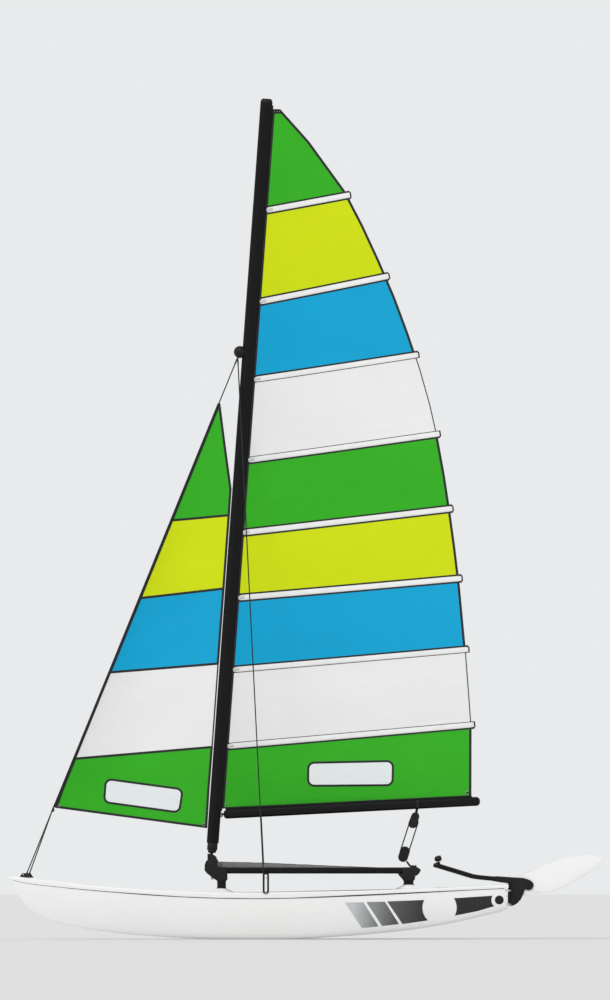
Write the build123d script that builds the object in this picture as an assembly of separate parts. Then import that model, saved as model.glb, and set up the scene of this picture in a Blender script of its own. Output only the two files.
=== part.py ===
from build123d import *
import math
import os

# Beach catamaran, 5 m class, standing on its two hulls with both rudder blades kicked up.
# Millimetres. +X points forward, +Y to port, +Z up.
# Tables below are laid out with u = distance aft of the stem head and z = height above the keels;
# every piece is then moved so that the origin is at the bottom centre of the whole boat.

# ---------------------------------------------------------------- driving dimensions
HULL_LENGTH = 5055.0
KEEL_Y = 1093.0            # lateral place of each keel line
OUTBOARD_SHARE = 0.33      # share of the hull's beam that lies outboard of its keel line
DECK_LIP = 8.0             # how far the deck moulding stands out past the hull side
DECK_CROWN = 5.0

# u, height of the hull and deck seam, height of the keel, beam at the seam
HULL_STATIONS = [
    (14, 612, 598, 16), (54, 601, 545, 34), (82, 592, 481, 45), (109, 584, 436, 55), (136, 578, 400, 65),
    (191, 568, 336, 84), (245, 559, 291, 101), (340, 548, 239, 128), (472, 535, 182, 158), (654, 515, 136, 190),
    (836, 498, 102, 214), (1017, 483, 76, 233), (1199, 468, 55, 248), (1381, 454, 39, 260), (1562, 442, 26, 270),
    (1744, 432, 15, 279), (1926, 424, 7, 286), (2107, 418, 2, 291), (2289, 414, 0, 295), (2471, 413, 0, 298),
    (2652, 414, 0, 299), (2834, 417, 1, 299), (3015, 422, 8, 297), (3197, 428, 19, 294), (3379, 435, 31, 290),
    (3560, 443, 44, 285), (3742, 451, 60, 279), (3924, 460, 79, 272), (4105, 469, 101, 265), (4287, 479, 128, 257),
    (4469, 489, 160, 249), (4650, 499, 198, 241), (4832, 508, 242, 233), (4975, 514, 277, 226),
]
TRANSOM_TOP_U, TRANSOM_BOTTOM_U, TRANSOM_BEAM = 5026.0, 5052.0, 222.0
TRANSOM_SEAM_Z, TRANSOM_KEEL_Z = 516.0, 306.0

# u, height of the deck's edge
DECK_EDGE = [
    (0, 622), (27, 634), (82, 634), (136, 628), (191, 620), (291, 608), (472, 584), (654, 561), (836, 541),
    (1017, 526), (1199, 512), (1381, 500), (1562, 491), (1744, 483), (1926, 478), (2107, 474), (2289, 472),
    (2471, 472), (2652, 473), (2834, 475), (3015, 478), (3197, 482), (3379, 486), (3560, 490), (3742, 496),
    (3924, 503), (4105, 510), (4287, 516), (4469, 523), (4650, 531), (4832, 540), (5014, 550), (5060, 552),
]

POST_Y = 1044.0            # lateral place of the pylon posts, corner castings and side rails
FRONT_POST = (2157.0, 82.0, 50.0, 513.0, 594.0)    # u, length, width, bottom, top
REAR_POST = (4056.0, 91.0, 50.0, 550.0, 595.0)
FRONT_BAR = (2062.0, 745.0, 104.0, 104.0)          # u, z, length and height of the oval section
REAR_BAR = (4112.0, 684.0, 88.0, 84.0)
CASTING_IN, CASTING_OUT = 984.0, 1104.0            # inner and outer faces of the corner castings
RAIL_Z, RAIL_H, RAIL_W = 695.0, 62.0, 42.0

MAST_FOOT = (2062.0, 917.0)
MAST_TOP = (2616.0, 8538.0)
MAST_CHORD, MAST_WIDTH = 122.0, 66.0
STEP_BALL = (2056.0, 884.0, 22.0)                  # u, z, radius
TANG_BALL = (2343.0, 5963.0, 62.0)
LUFF_OFFSET = 74.0                                 # swing axis of the boom, aft of the mast's centreline

BOOM_FRONT = (2185.0, 1265.5)
BOOM_REAR = (4762.0, 1398.0)
BOOM_H, BOOM_W = 92.0, 52.0

RUDDER_Y = 1062.0
DRAIN_Y, DRAIN_Z, DRAIN_R, DRAIN_DEPTH = 1112.0, 425.0, 11.0, 40.0
VANE_R, VANE_DEPTH = 4.0, 28.0
PINTLE_U = 5094.0
PINTLE_R = 5.0
PIVOT = (5190.0, 505.0)                            # kick-up bolt of each rudder blade
PIVOT_R = 6.0
KICK_UP = 105.0                                    # from lowered to raised
TILLER_PIN = (4356.0, 814.0)
BLADE_T = 20.0
CHEEK_SLOT = 30.0
CASTING_T = 54.0

SAIL_HALF_T = 2.5
WIRE_R = 4.5

MAST_SLOPE = (MAST_TOP[0] - MAST_FOOT[0]) / (MAST_TOP[1] - MAST_FOOT[1])
MAST_RAKE = math.degrees(math.atan(MAST_SLOPE))


# ---------------------------------------------------------------- helpers
def V(u, y, z):
    """A point from distance aft, lateral place and height."""
    return Vector(-u, y, z)


def table(rows, u):
    """Smooth value from a table of (u, value)."""
    for (a, fa), (b, fb) in zip(rows, rows[1:]):
        if u <= b:
            t = (u - a) / (b - a)
            return fa + (fb - fa) * t
    return rows[-1][1]


def wire_of(*edges):
    return Wire(list(edges))


def closed_poly(points):
    return Wire([Line(points[i], points[(i + 1) % len(points)]) for i in range(len(points))])


def prism(outline, y0, y1):
    """A flat piece with its outline in the fore-and-aft plane, from lateral y0 to y1."""
    face = Face(closed_poly([V(u, y0, z) for u, z in outline]))
    return Solid.extrude(face, Vector(0, y1 - y0, 0))


def rod(p0, p1, r):
    d = p1 - p0
    return Solid.make_cylinder(r, d.length, Plane(origin=p0, z_dir=d.normalized()))


def ball(p, r):
    return Solid.make_sphere(r, Plane(origin=p), -90, 90, 360)


def block(u0, u1, y0, y1, z0, z1):
    return Solid.make_box(u1 - u0, y1 - y0, z1 - z0, Plane(origin=(-u1, y0, z0)))


def oval_bar(u, z, length, height, y0, y1):
    """A bar of oval section that runs across the boat."""
    face = Plane(origin=V(u, y0, z), x_dir=(1, 0, 0), z_dir=(0, 1, 0)) * Ellipse(length / 2, height / 2)
    return Solid.extrude(face.face(), Vector(0, y1 - y0, 0))


def whole(shape):
    """The one solid that a boolean leaves."""
    solids = shape.solids()
    return max(solids, key=lambda s: s.volume)


# ---------------------------------------------------------------- hulls and decks
def fullness(u):
    """Exponent of the section curve: fine at the bow, full amidships."""
    return table([(0, 0.95), (250, 0.85), (900, 0.68), (1900, 0.56), (3300, 0.52), (5055, 0.50)], u)


def hull_section(side, u, seam, keel, beam, u_low=None):
    """Section wire: round from the outboard gunwale under the keel to the inboard gunwale, closed across the top."""
    e = fullness(u)
    u_low = u if u_low is None else u_low
    down = [0, 0.13, 0.3, 0.48, 0.66, 0.82, 0.94]
    pts = []
    for sgn, share in ((1, OUTBOARD_SHARE), (-1, 1 - OUTBOARD_SHARE)):
        half = []
        for t in down:
            y = KEEL_Y + sgn * beam * share * math.cos(math.pi * t / 2) ** e
            half.append((u + (u_low - u) * t, y, seam + (keel - seam) * t))
        pts.append(half)
    chain = pts[0] + [(u_low, KEEL_Y, keel)] + pts[1][::-1]
    vs = [V(a, side * y, z) for a, y, z in chain]
    return wire_of(Spline(*vs), Line(vs[-1], vs[0]))


def make_hull(side):
    sections = [hull_section(side, *row) for row in HULL_STATIONS]
    sections.append(
        hull_section(side, TRANSOM_TOP_U, TRANSOM_SEAM_Z, TRANSOM_KEEL_Z, TRANSOM_BEAM, TRANSOM_BOTTOM_U)
    )
    hull = Solid.make_loft(sections, ruled=False)
    return whole(hull.cut(drain(side)))


def drain(side):
    """The drain hole's bore, from outside the transom forward into the hull."""
    mouth = TRANSOM_TOP_U + (TRANSOM_SEAM_Z - DRAIN_Z) / (TRANSOM_SEAM_Z - TRANSOM_KEEL_Z) * (TRANSOM_BOTTOM_U - TRANSOM_TOP_U)
    depth = DRAIN_DEPTH + 40
    return Solid.make_cylinder(DRAIN_R, depth, Plane(origin=V(mouth + 40, side * DRAIN_Y, DRAIN_Z), z_dir=(1, 0, 0)))


SEAM = [(0, 616)] + [(r[0], r[1]) for r in HULL_STATIONS] + [(TRANSOM_TOP_U, TRANSOM_SEAM_Z), (5060, 517)]
BEAM = [(0, 10)] + [(r[0], r[3]) for r in HULL_STATIONS] + [(TRANSOM_TOP_U, TRANSOM_BEAM), (5060, 220)]


def deck_section(side, u):
    beam, seam, edge = table(BEAM, u), table(SEAM, u), table(DECK_EDGE, u)
    lip = min(DECK_LIP, 3 + u * 0.02)
    yo = KEEL_Y + beam * OUTBOARD_SHARE + lip
    yi = KEEL_Y - beam * (1 - OUTBOARD_SHARE) - lip
    r = min(14.0, (yo - yi) * 0.25, (edge - seam) * 0.4)
    crown = DECK_CROWN * min(1.0, beam / 200)
    ym = (yo + yi) / 2
    o0, o1 = V(u, side * yo, seam), V(u, side * yo, edge - r)
    o2 = V(u, side * (yo - r), edge)
    i2 = V(u, side * (yi + r), edge)
    i1, i0 = V(u, side * yi, edge - r), V(u, side * yi, seam)
    qo = V(u, side * (yo - 0.3 * r), edge - 0.3 * r)
    qi = V(u, side * (yi + 0.3 * r), edge - 0.3 * r)
    return wire_of(
        Line(o0, o1),
        ThreePointArc(o1, qo, o2),
        ThreePointArc(o2, V(u, side * ym, edge + crown), i2),
        ThreePointArc(i2, qi, i1),
        Line(i1, i0),
        Line(i0, o0),
    )


DECK_U = [0, 27, 60, 100, 150, 220, 330, 472, 654, 836, 1100, 1381, 1744, 2107, 2471, 2834, 3197, 3560, 3924,
          4287, 4650, 4900, 5060]


def mound(side, u0, u1, t0, t1, z_low, z_high, y_wide, y_top):
    """The flared swelling of the deck under a pylon post."""
    secs = []
    for share, z in ((0.0, z_low), (0.35, z_low + 0.28 * (z_high - z_low)), (0.75, z_low + 0.72 * (z_high - z_low)), (1.0, z_high)):
        k = 1 - (1 - share) ** 1.0
        a, b = u0 + (t0 - u0) * k, u1 + (t1 - u1) * k
        w = y_wide + (y_top - y_wide) * k
        face = Plane(origin=V((a + b) / 2, side * POST_Y, z)) * Ellipse((b - a) / 2, w / 2)
        secs.append(face.face().outer_wire())
    return Solid.make_loft(secs, ruled=False)


def make_deck(side):
    deck = Solid.make_loft([deck_section(side, u) for u in DECK_U], ruled=True)
    front = mound(side, 2010, 2330, 2112, 2202, 462, FRONT_POST[3], 190, 72)
    rear = mound(side, 3880, 4220, 4006, 4108, 494, REAR_POST[3], 186, 74)
    return whole(deck.fuse(front, rear))


# ---------------------------------------------------------------- beams, castings and trampoline
def post(side, u, length, width, z0, z1):
    face = Plane(origin=V(u, side * POST_Y, z0)) * Ellipse(length / 2, width / 2)
    return Solid.extrude(face.face(), Vector(0, 0, z1 - z0))


FRONT_CASTING = [
    (1989, 696), (1990, 752), (2004, 790), (2034, 812), (2078, 818), (2108, 814), (2119, 796), (2120, 738),
    (2132, 731), (2213, 727), (2213, 599), (2205, 594), (2109, 594), (2060, 628), (2010, 668),
]
REAR_CASTING = [
    (3990, 727), (4062, 728), (4104, 735), (4140, 727), (4165, 713), (4176, 698), (4170, 684), (4156, 662),
    (4132, 644), (4121, 640), (4117, 620), (4112, 595), (4008, 595), (4001, 604), (3952, 658), (3956, 663.4), (3990, 663.4),
]


def make_casting(side, outline):
    return prism(outline, side * CASTING_IN, side * CASTING_OUT)


def make_rail(side):
    u0, u1 = 2213.0, 3990.0
    face = Plane(origin=V(u0, side * POST_Y, RAIL_Z), x_dir=(0, 1, 0), z_dir=(-1, 0, 0)) * RectangleRounded(RAIL_W, RAIL_H, 18)
    return Solid.extrude(face.face(), Vector(-(u1 - u0), 0, 0))


TRAMP_IN, TRAMP_OUT, TRAMP_CORNER = 14.0, 1018.0, 978.0
TRAMP_FRONT_U, TRAMP_REAR_U = 2117.0, 3984.0


def tramp_z(u, y):
    """Top of the trampoline: high where it meets the front beam, falling aft and towards the rails."""
    mid = table([(2117, 782), (2600, 771), (3379, 737), (3984, 715)], u)
    return mid - (mid - 706) * (abs(y) / TRAMP_OUT) ** 5


def make_trampoline(side):
    secs = []
    for u in (TRAMP_FRONT_U, 2218, 2226, 2400, 2800, 3200, 3600, TRAMP_REAR_U):
        edge = TRAMP_CORNER if u < 2220 else TRAMP_OUT
        ys = [TRAMP_IN, 250, 500, 700, 850, 930, edge]
        top = [V(u, side * y, tramp_z(u, y)) for y in ys]
        low = [V(u, side * y, tramp_z(u, y) - 6) for y in ys]
        secs.append(wire_of(Spline(*top), Line(top[-1], low[-1]), Spline(*low[::-1]), Line(low[0], top[0])))
    return Solid.make_loft(secs, ruled=True)


def make_striker():
    u, z = FRONT_BAR[0], FRONT_BAR[1]
    low = 612.0
    parts = [rod(V(u, 0, low - 8), V(u, 0, z - 51), 13)]
    for s in (1, -1):
        parts.append(rod(V(u, 0, low), V(u, s * 900, 688), 5))
        parts.append(block(u - 12, u + 12, min(s * 880, s * 925), max(s * 880, s * 925), 680, 699))
    out = parts[0]
    for p in parts[1:]:
        out = out.fuse(p)
    bar = oval_bar(FRONT_BAR[0], FRONT_BAR[1], FRONT_BAR[2], FRONT_BAR[3], -CASTING_IN, CASTING_IN)
    return whole(out.cut(bar))


def make_step():
    base = prism([(2014, 785), (2014, 868), (2030, 866), (2076, 856), (2103, 836), (2108, 824), (2108, 785)], -48, 48)
    bar = oval_bar(FRONT_BAR[0], FRONT_BAR[1], FRONT_BAR[2], FRONT_BAR[3], -CASTING_IN, CASTING_IN)
    base = base.cut(bar)
    stem = rod(V(STEP_BALL[0], 0, 840), V(STEP_BALL[0], 0, STEP_BALL[1]), 13)
    return whole(base.fuse(stem, ball(V(STEP_BALL[0], 0, STEP_BALL[1]), STEP_BALL[2])))


# ---------------------------------------------------------------- spars
def mast_plane(z):
    """Plane across the mast at a height: x runs aft along the chord, y to port."""
    u = MAST_FOOT[0] + (z - MAST_FOOT[1]) * MAST_SLOPE
    a = math.radians(MAST_RAKE)
    axis = Vector(-math.sin(a), 0, math.cos(a))
    aft = Vector(-math.cos(a), 0, -math.sin(a))
    return Plane(origin=V(u, 0, z), x_dir=aft, z_dir=axis)


def mast_face(z, chord=MAST_CHORD, width=MAST_WIDTH):
    c, w = chord / 2, width / 2
    nose = [(c, 0.26 * w), (0.78 * c, 0.52 * w), (0.3 * c, 0.88 * w), (-0.2 * c, w), (-0.7 * c, 0.74 * w), (-c, 0),
            (-0.7 * c, -0.74 * w), (-0.2 * c, -w), (0.3 * c, -0.88 * w), (0.78 * c, -0.52 * w), (c, -0.26 * w)]
    curve = Spline(*[Vector(x, y) for x, y in nose])
    face = Face(Wire([curve, Line(Vector(*nose[-1]), Vector(*nose[0]))]))
    return mast_plane(z) * face


def along_mast(z0, z1, **kw):
    a = math.radians(MAST_RAKE)
    length = (z1 - z0) / math.cos(a)
    return Solid.extrude(mast_face(z0, **kw).face(), mast_plane(z0).z_dir * length)


MAST_Z0, MAST_Z1 = 975.0, 8502.0


def make_mast():
    return along_mast(MAST_Z0, MAST_Z1)


def make_mast_base():
    plug = along_mast(903.0, MAST_Z0, chord=104, width=56)
    return whole(plug.cut(ball(V(STEP_BALL[0], 0, STEP_BALL[1]), STEP_BALL[2] + 0.4)))


def make_mast_head():
    pl = mast_plane(MAST_Z1)
    low = mast_face(MAST_Z1, chord=MAST_CHORD, width=MAST_WIDTH).face().outer_wire()
    mid = mast_face(MAST_Z1 + 18, chord=114, width=60).face().outer_wire()
    top = mast_face(MAST_Z1 + 36, chord=84, width=42).face().outer_wire()
    cap = Solid.make_loft([low, mid, top], ruled=False)
    pt = mast_plane(MAST_Z1 + 36)
    socket = Solid.make_cylinder(VANE_R, VANE_DEPTH + 20, Plane(origin=pt.origin - pt.z_dir * VANE_DEPTH, z_dir=pt.z_dir))
    return whole(cap.cut(socket))


def make_tang(mast):
    return whole(ball(V(TANG_BALL[0], 0, TANG_BALL[1]), TANG_BALL[2]).cut(mast))


def mast_u(z):
    return MAST_FOOT[0] + (z - MAST_FOOT[1]) * MAST_SLOPE


def boom_dir():
    du, dz = BOOM_REAR[0] - BOOM_FRONT[0], BOOM_REAR[1] - BOOM_FRONT[1]
    n = math.hypot(du, dz)
    return du / n, dz / n, n


def make_boom():
    du, dz, n = boom_dir()
    pl = Plane(origin=V(BOOM_FRONT[0], 0, BOOM_FRONT[1]), x_dir=(0, 1, 0), z_dir=(-du, 0, dz))
    face = pl * RectangleRounded(BOOM_W, BOOM_H, 24)
    return Solid.extrude(face.face(), Vector(-du, 0, dz) * n)


def make_boom_ends():
    """Rear cap, and front fitting with the tongue that the gooseneck pin goes through."""
    du, dz, n = boom_dir()
    d = Vector(-du, 0, dz)
    rear0 = V(BOOM_REAR[0], 0, BOOM_REAR[1])
    pl = Plane(origin=rear0, x_dir=(0, 1, 0), z_dir=d)
    secs = [
        (pl * RectangleRounded(BOOM_W, BOOM_H, 24)).face().outer_wire(),
        (pl.offset(12) * RectangleRounded(BOOM_W - 4, BOOM_H - 6, 22)).face().outer_wire(),
        (pl.offset(20) * RectangleRounded(BOOM_W - 20, BOOM_H - 26, 15)).face().outer_wire(),
    ]
    rear = Solid.make_loft(secs, ruled=True)
    front0 = V(BOOM_FRONT[0], 0, BOOM_FRONT[1])
    pf = Plane(origin=front0, x_dir=(0, 1, 0), z_dir=d)
    secs = [
        (pf * RectangleRounded(BOOM_W, BOOM_H, 24)).face().outer_wire(),
        (pf.offset(-8) * RectangleRounded(BOOM_W - 12, BOOM_H - 14, 18)).face().outer_wire(),
    ]
    front = Solid.make_loft(secs, ruled=True)
    z = BOOM_FRONT[1]
    ax = mast_plane(z)
    pin = ax.origin + ax.x_dir * LUFF_OFFSET
    eye = Solid.make_cylinder(8, 20, Plane(origin=pin - ax.z_dir * 10, z_dir=ax.z_dir))
    tongue = Solid.extrude((Plane(origin=pin, x_dir=(0, 1, 0), z_dir=d) * Rectangle(14, 20)).face(), d * 18)
    bore = Solid.make_cylinder(4.08, 40, Plane(origin=pin - ax.z_dir * 20, z_dir=ax.z_dir))
    front = whole(front.fuse(tongue, eye).cut(bore))
    return [front, rear]


def make_gooseneck(mast):
    """Two lugs on the mast's track with the pin between them."""
    z = BOOM_FRONT[1]
    ax = mast_plane(z)
    pin = ax.origin + ax.x_dir * LUFF_OFFSET
    parts = []
    for s in (-1, 1):
        low = pin + ax.z_dir * (17 * s - 3.5)
        disc = Solid.make_cylinder(9, 7, Plane(origin=low, z_dir=ax.z_dir))
        arm = Solid.extrude((Plane(origin=low - ax.x_dir * 16, x_dir=ax.x_dir, z_dir=ax.z_dir) * Pos(8, 0) * Rectangle(16, 15)).face(), ax.z_dir * 7)
        parts += [disc, arm]
    plate = Solid.extrude((Plane(origin=pin - ax.x_dir * (LUFF_OFFSET - MAST_CHORD / 2 - 1) - ax.z_dir * 30, x_dir=ax.x_dir, z_dir=ax.z_dir) * Rectangle(4, 15.5)).face(), ax.z_dir * 60)
    shaft = Solid.make_cylinder(4, 44, Plane(origin=pin - ax.z_dir * 22, z_dir=ax.z_dir))
    out = parts[0].fuse(*parts[1:], plate, shaft)
    return whole(out.cut(mast))


# ---------------------------------------------------------------- sails
LEECH = [
    (1448, 4692), (2162, 4694), (2525, 4668), (2888, 4640), (3252, 4606), (3615, 4572), (3978, 4528), (4342, 4478),
    (4705, 4423), (5068, 4357), (5431, 4275), (5795, 4172), (6158, 4050), (6521, 3915), (6885, 3760), (7248, 3592),
    (7596, 3412), (8108, 3040), (8429, 2752),
]
# luff height, leech height of each cross line of the mainsail, foot to head; the battens lie on lines 2 to 9
MAIN_LINES = [
    (1324, 1448), (1958, 2175), (2734, 2938), (3465, 3660), (4128, 4368), (4865, 5128), (5683, 5929), (6474, 6728),
    (7404, 7554), (8429, 8429),
]
MAIN_CAMBER = [(1324, 0.045), (2600, 0.060), (4500, 0.060), (6500, 0.052), (8429, 0.0)]
JIB_CAMBER = [(1127, 0.04), (2600, 0.055), (4300, 0.05), (5477, 0.0)]


def belly(t):
    t = max(0.0, min(1.0, t))
    return math.sin(math.pi * t ** 0.8)


def luff_u(z):
    return mast_u(z) + MAST_CHORD / 2 + 8


def leech_u(z):
    return table(LEECH, z)


def strip_wire(a, b, camber, half_t, over=0.0):
    """Thin curved strip from point a at the luff to b at the leech, both (u, z)."""
    ts = [0, 0.08, 0.2, 0.35, 0.5, 0.65, 0.8, 0.92, 1.0]
    chord = math.hypot(b[0] - a[0], b[1] - a[1])
    pts = []
    for t in ts:
        pts.append((a[0] + (b[0] - a[0]) * t, -camber * chord * belly(t), a[1] + (b[1] - a[1]) * t))
    if over:
        t = 1 + over / chord
        slope = (pts[-1][1] - pts[-2][1]) / 0.08
        pts.append((a[0] + (b[0] - a[0]) * t, pts[-1][1] + slope * (t - 1), a[1] + (b[1] - a[1]) * t))
    left = [V(u, y + half_t, z) for u, y, z in pts]
    right = [V(u, y - half_t, z) for u, y, z in pts]
    return wire_of(Spline(*left), Line(left[-1], right[-1]), Spline(*right[::-1]), Line(right[0], left[0]))


def make_mainsail():
    secs = []
    lines = []
    for (l0, e0), (l1, e1) in zip(MAIN_LINES, MAIN_LINES[1:]):
        for k in (0, 0.5):
            lines.append((l0 + (l1 - l0) * k, e0 + (e1 - e0) * k))
    lines.append(MAIN_LINES[-1])
    for l, e in lines:
        secs.append(strip_wire((luff_u(l), l), (leech_u(e), e), table(MAIN_CAMBER, l), SAIL_HALF_T))
    return Solid.make_loft(secs, ruled=True)


BATTEN_H = 64.0


def make_battens():
    """Eight full-width battens in their pockets, each standing out past the leech."""
    out = []
    for l, e in MAIN_LINES[1:-1]:
        secs = []
        for s in (-1, 1):
            zl, ze = l + s * BATTEN_H / 2, e + s * BATTEN_H / 2
            secs.append(strip_wire((luff_u(zl) + 14, zl), (leech_u(ze) - 4, ze), table(MAIN_CAMBER, l), 6.0, over=46.0))
        out.append(Solid.make_loft(secs, ruled=True))
    return out


def stay_u(z):
    """The forestay's line from the bridle's apex to the tang."""
    return 445 + (z - 1326) * (2134 - 445) / (5477 - 1326)


JIB_LINES = [
    ((466, 1334), (2008, 1127)), ((stay_u(1560) + 7, 1560), (2032, 1520)), ((stay_u(1830) + 7, 1830), (2066, 1950)),
    ((stay_u(2707) + 7, 2707), (2127, 2797)), ((stay_u(3461) + 7, 3461), (2184, 3560)),
    ((stay_u(4251) + 7, 4251), (2238, 4305)), ((stay_u(4540) + 7, 4540), (2256, 4569)),
    ((stay_u(5000) + 7, 5000), (2196, 5010)), ((stay_u(5440) + 7, 5440), (2141, 5442)),
]


def make_jib():
    secs = [strip_wire(a, b, table(JIB_CAMBER, a[1]), SAIL_HALF_T) for a, b in JIB_LINES]
    return Solid.make_loft(secs, ruled=True)


# ---------------------------------------------------------------- standing rigging
APEX = (445.0, 1326.0)
BOW_TANG = (182.0, 656.0)
TOW_EYE, TOW_R = (158.0, 654.0), 5.0           # hole in each bow tang for a tow line's shackle
CHAIN = (2607.0, 1206.0)                       # u and lateral place of each shroud's anchor
SHROUD_FORWARD = 25.0                          # the shrouds meet the tang this far ahead of its centre


def toward(p, q, d):
    """The point at distance d from p on the way to q."""
    v = (q - p).normalized()
    return p + v * d


def make_forestay():
    tang = V(TANG_BALL[0], 0, TANG_BALL[1])
    apex = V(APEX[0], 0, APEX[1])
    wire = rod(apex, toward(tang, apex, TANG_BALL[2] + 0.5), WIRE_R)
    eye = block(APEX[0] - 14, APEX[0] + 12, -3, 3, APEX[1] - 34, APEX[1] + 6)
    return whole(wire.fuse(eye))


def make_bridle(side):
    """One bridle wire, from beside the forestay's foot to the bow tang."""
    top = V(APEX[0] - 2, side * 7, APEX[1] - 6)
    low = V(BOW_TANG[0] + 6, side * (KEEL_Y - 8), BOW_TANG[1] - 4)
    return rod(low, top, WIRE_R)


def make_bow_tangs():
    out = []
    for s in (1, -1):
        y = s * KEEL_Y
        plate = prism([(127, 630), (127, 644), (150, 668), (204, 668), (227, 634), (227, 622)], y - 3, y + 3)
        eye = Solid.make_cylinder(TOW_R, 20, Plane(origin=V(TOW_EYE[0], y - 10, TOW_EYE[1]), z_dir=(0, 1, 0)))
        foot = block(122, 232, y - 14, y + 14, 624, 634)
        out.append(whole(plate.fuse(foot).cut(eye)))
    return out


def make_shroud(side):
    """From the adjuster to the fore part of the tang, so that the turned mast clears it."""
    tang = V(TANG_BALL[0] - SHROUD_FORWARD, 0, TANG_BALL[1])
    low = V(2585, side * CHAIN[1], 668)
    return rod(low, toward(tang, low, TANG_BALL[2] + 0.5), WIRE_R)


def make_adjuster(side):
    """Long U-shaped adjuster that hooks on an anchor at the gunwale and takes the shroud at its top."""
    y = side * CHAIN[1]
    r = 4.5
    left = rod(V(2583, y, 486), V(2583, y, 660), r)
    right = rod(V(2631, y, 486), V(2631, y, 660), r)
    low = rod(V(2583, y, 486), V(2598, y, 462), r).fuse(rod(V(2598, y, 462), V(2616, y, 462), r), rod(V(2616, y, 462), V(2631, y, 486), r))
    top = rod(V(2583, y, 660), V(2631, y, 660), r)
    joints = [ball(V(u, y, z), r) for u, z in ((2583, 486), (2631, 486), (2583, 660), (2631, 660), (2598, 462), (2616, 462))]
    return whole(left.fuse(right, low, top, *joints))


# ---------------------------------------------------------------- sheets
def rounded_block(u, z, length, height, tilt, thick):
    pl = Plane(origin=V(u, -thick / 2, z), x_dir=(math.cos(math.radians(tilt)), 0, math.sin(math.radians(tilt))), z_dir=(0, 1, 0))
    face = pl * RectangleRounded(length, height, min(length, height) * 0.48)
    return Solid.extrude(face.face(), Vector(0, thick, 0))


def make_upper_block():
    body = rounded_block(4112, 1206, 92, 168, 18, 62)
    hang = rod(V(4112, 0, 1270), V(4147, 0, 1345), 9)
    return whole(body.fuse(hang).cut(make_boom()))


def make_lower_block():
    body = rounded_block(4011, 864, 100, 156, 18, 62)
    return body


def make_track():
    u, z = REAR_BAR[0], REAR_BAR[1] + REAR_BAR[3] / 2
    t = block(u - 17, u + 17, -820, 820, z - 6, z + 8)
    bar = oval_bar(REAR_BAR[0], REAR_BAR[1], REAR_BAR[2], REAR_BAR[3], -CASTING_IN, CASTING_IN)
    return whole(t.cut(bar))


def make_car():
    u, z = REAR_BAR[0], REAR_BAR[1] + REAR_BAR[3] / 2 + 8
    return whole(block(u - 32, u + 26, -50, 50, z, z + 14).fuse(rod(V(u - 24, 0, z + 12), V(u - 34, 0, z + 32), 7)))


def make_jib_blocks():
    out = []
    for s in (1, -1):
        y = s * 420.0
        b = block(2040, 2076, y - 12, y + 12, 790, 812).fuse(rod(V(2058, y - 13, 828), V(2058, y + 13, 828), 24))
        bar = oval_bar(FRONT_BAR[0], FRONT_BAR[1], FRONT_BAR[2], FRONT_BAR[3], -CASTING_IN, CASTING_IN)
        out.append(whole(b.cut(bar)))
    return out


# ---------------------------------------------------------------- rudders
RUDDER_CASTING = [
    (4933, 638), (5217, 618), (5280, 597), (5312, 567), (5314, 538), (5297, 505), (5268, 494), (5224, 503),
    (5216, 476), (5204, 437), (5184, 399), (5151, 364), (5112, 340), (5074, 340), (5074, 566), (5000, 574), (4933, 586),
]
GUDGEON_Z = (352.0, 492.0)                      # lower and upper pintle brackets
BLADE = [                                       # lowered, u and z
    (5118, 470), (5119, 352), (5100, 318), (5088, 262), (5086, 200), (5094, 120), (5114, 20), (5144, -100),
    (5172, -195), (5200, -267), (5232, -330), (5262, -362), (5290, -358), (5322, -312), (5353, -232), (5374, -80),
    (5381, 39), (5377, 109), (5360, 240), (5338, 380), (5318, 527), (5286, 534), (5250, 546), (5207, 564), (5185, 566), (5163, 560), (5144, 545), (5132, 526),
]


def make_rudder_casting(side):
    y = side * RUDDER_Y
    body = prism(RUDDER_CASTING, y - CASTING_T / 2, y + CASTING_T / 2)
    nose = Solid.make_cylinder(20, 245, Plane(origin=V(PINTLE_U, y, 340)))
    front = block(5030, PINTLE_U, y - 40, y + 40, 330, 566)
    body = body.cut(front).fuse(nose)
    slot = block(5120, 5400, y - CHEEK_SLOT / 2, y + CHEEK_SLOT / 2, 300, 700)
    low_slot = block(5112, 5400, y - CHEEK_SLOT / 2, y + CHEEK_SLOT / 2, 300, 500)
    body = body.cut(slot, low_slot)
    for z in GUDGEON_Z:
        body = body.cut(Solid.make_cylinder(26, 18, Plane(origin=V(PINTLE_U, y, z - 9))))
    pin = Solid.make_cylinder(PINTLE_R, 200, Plane(origin=V(PINTLE_U, y, 335)))
    bolt = rod(V(PIVOT[0], y - 34, PIVOT[1]), V(PIVOT[0], y + 34, PIVOT[1]), PIVOT_R)
    heads = [rod(V(PIVOT[0], y + s * 27, PIVOT[1]), V(PIVOT[0], y + s * 33, PIVOT[1]), 11) for s in (-1, 1)]
    return whole(body.fuse(pin, bolt, *heads))


def make_gudgeons(side):
    out = []
    y = side * RUDDER_Y
    for z in GUDGEON_Z:
        u_face = TRANSOM_TOP_U + (TRANSOM_SEAM_Z - z) / (TRANSOM_SEAM_Z - TRANSOM_KEEL_Z) * (TRANSOM_BOTTOM_U - TRANSOM_TOP_U)
        arm = block(u_face - 3, PINTLE_U, y - 9, y + 9, z - 4, z + 4)
        eye = Solid.make_cylinder(12, 8, Plane(origin=V(PINTLE_U, y, z - 4)))
        plate = block(u_face - 3, u_face + 6, y - 16, y + 16, z - 22, z + 16)
        g = arm.fuse(eye, plate).cut(Solid.make_cylinder(PINTLE_R + 0.08, 40, Plane(origin=V(PINTLE_U, y, z - 20))))
        out.append(whole(g))
    return out


def rotate_about(shape, point, angle, direction=(0, 1, 0)):
    return shape.rotate(Axis(point, direction), angle)


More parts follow.
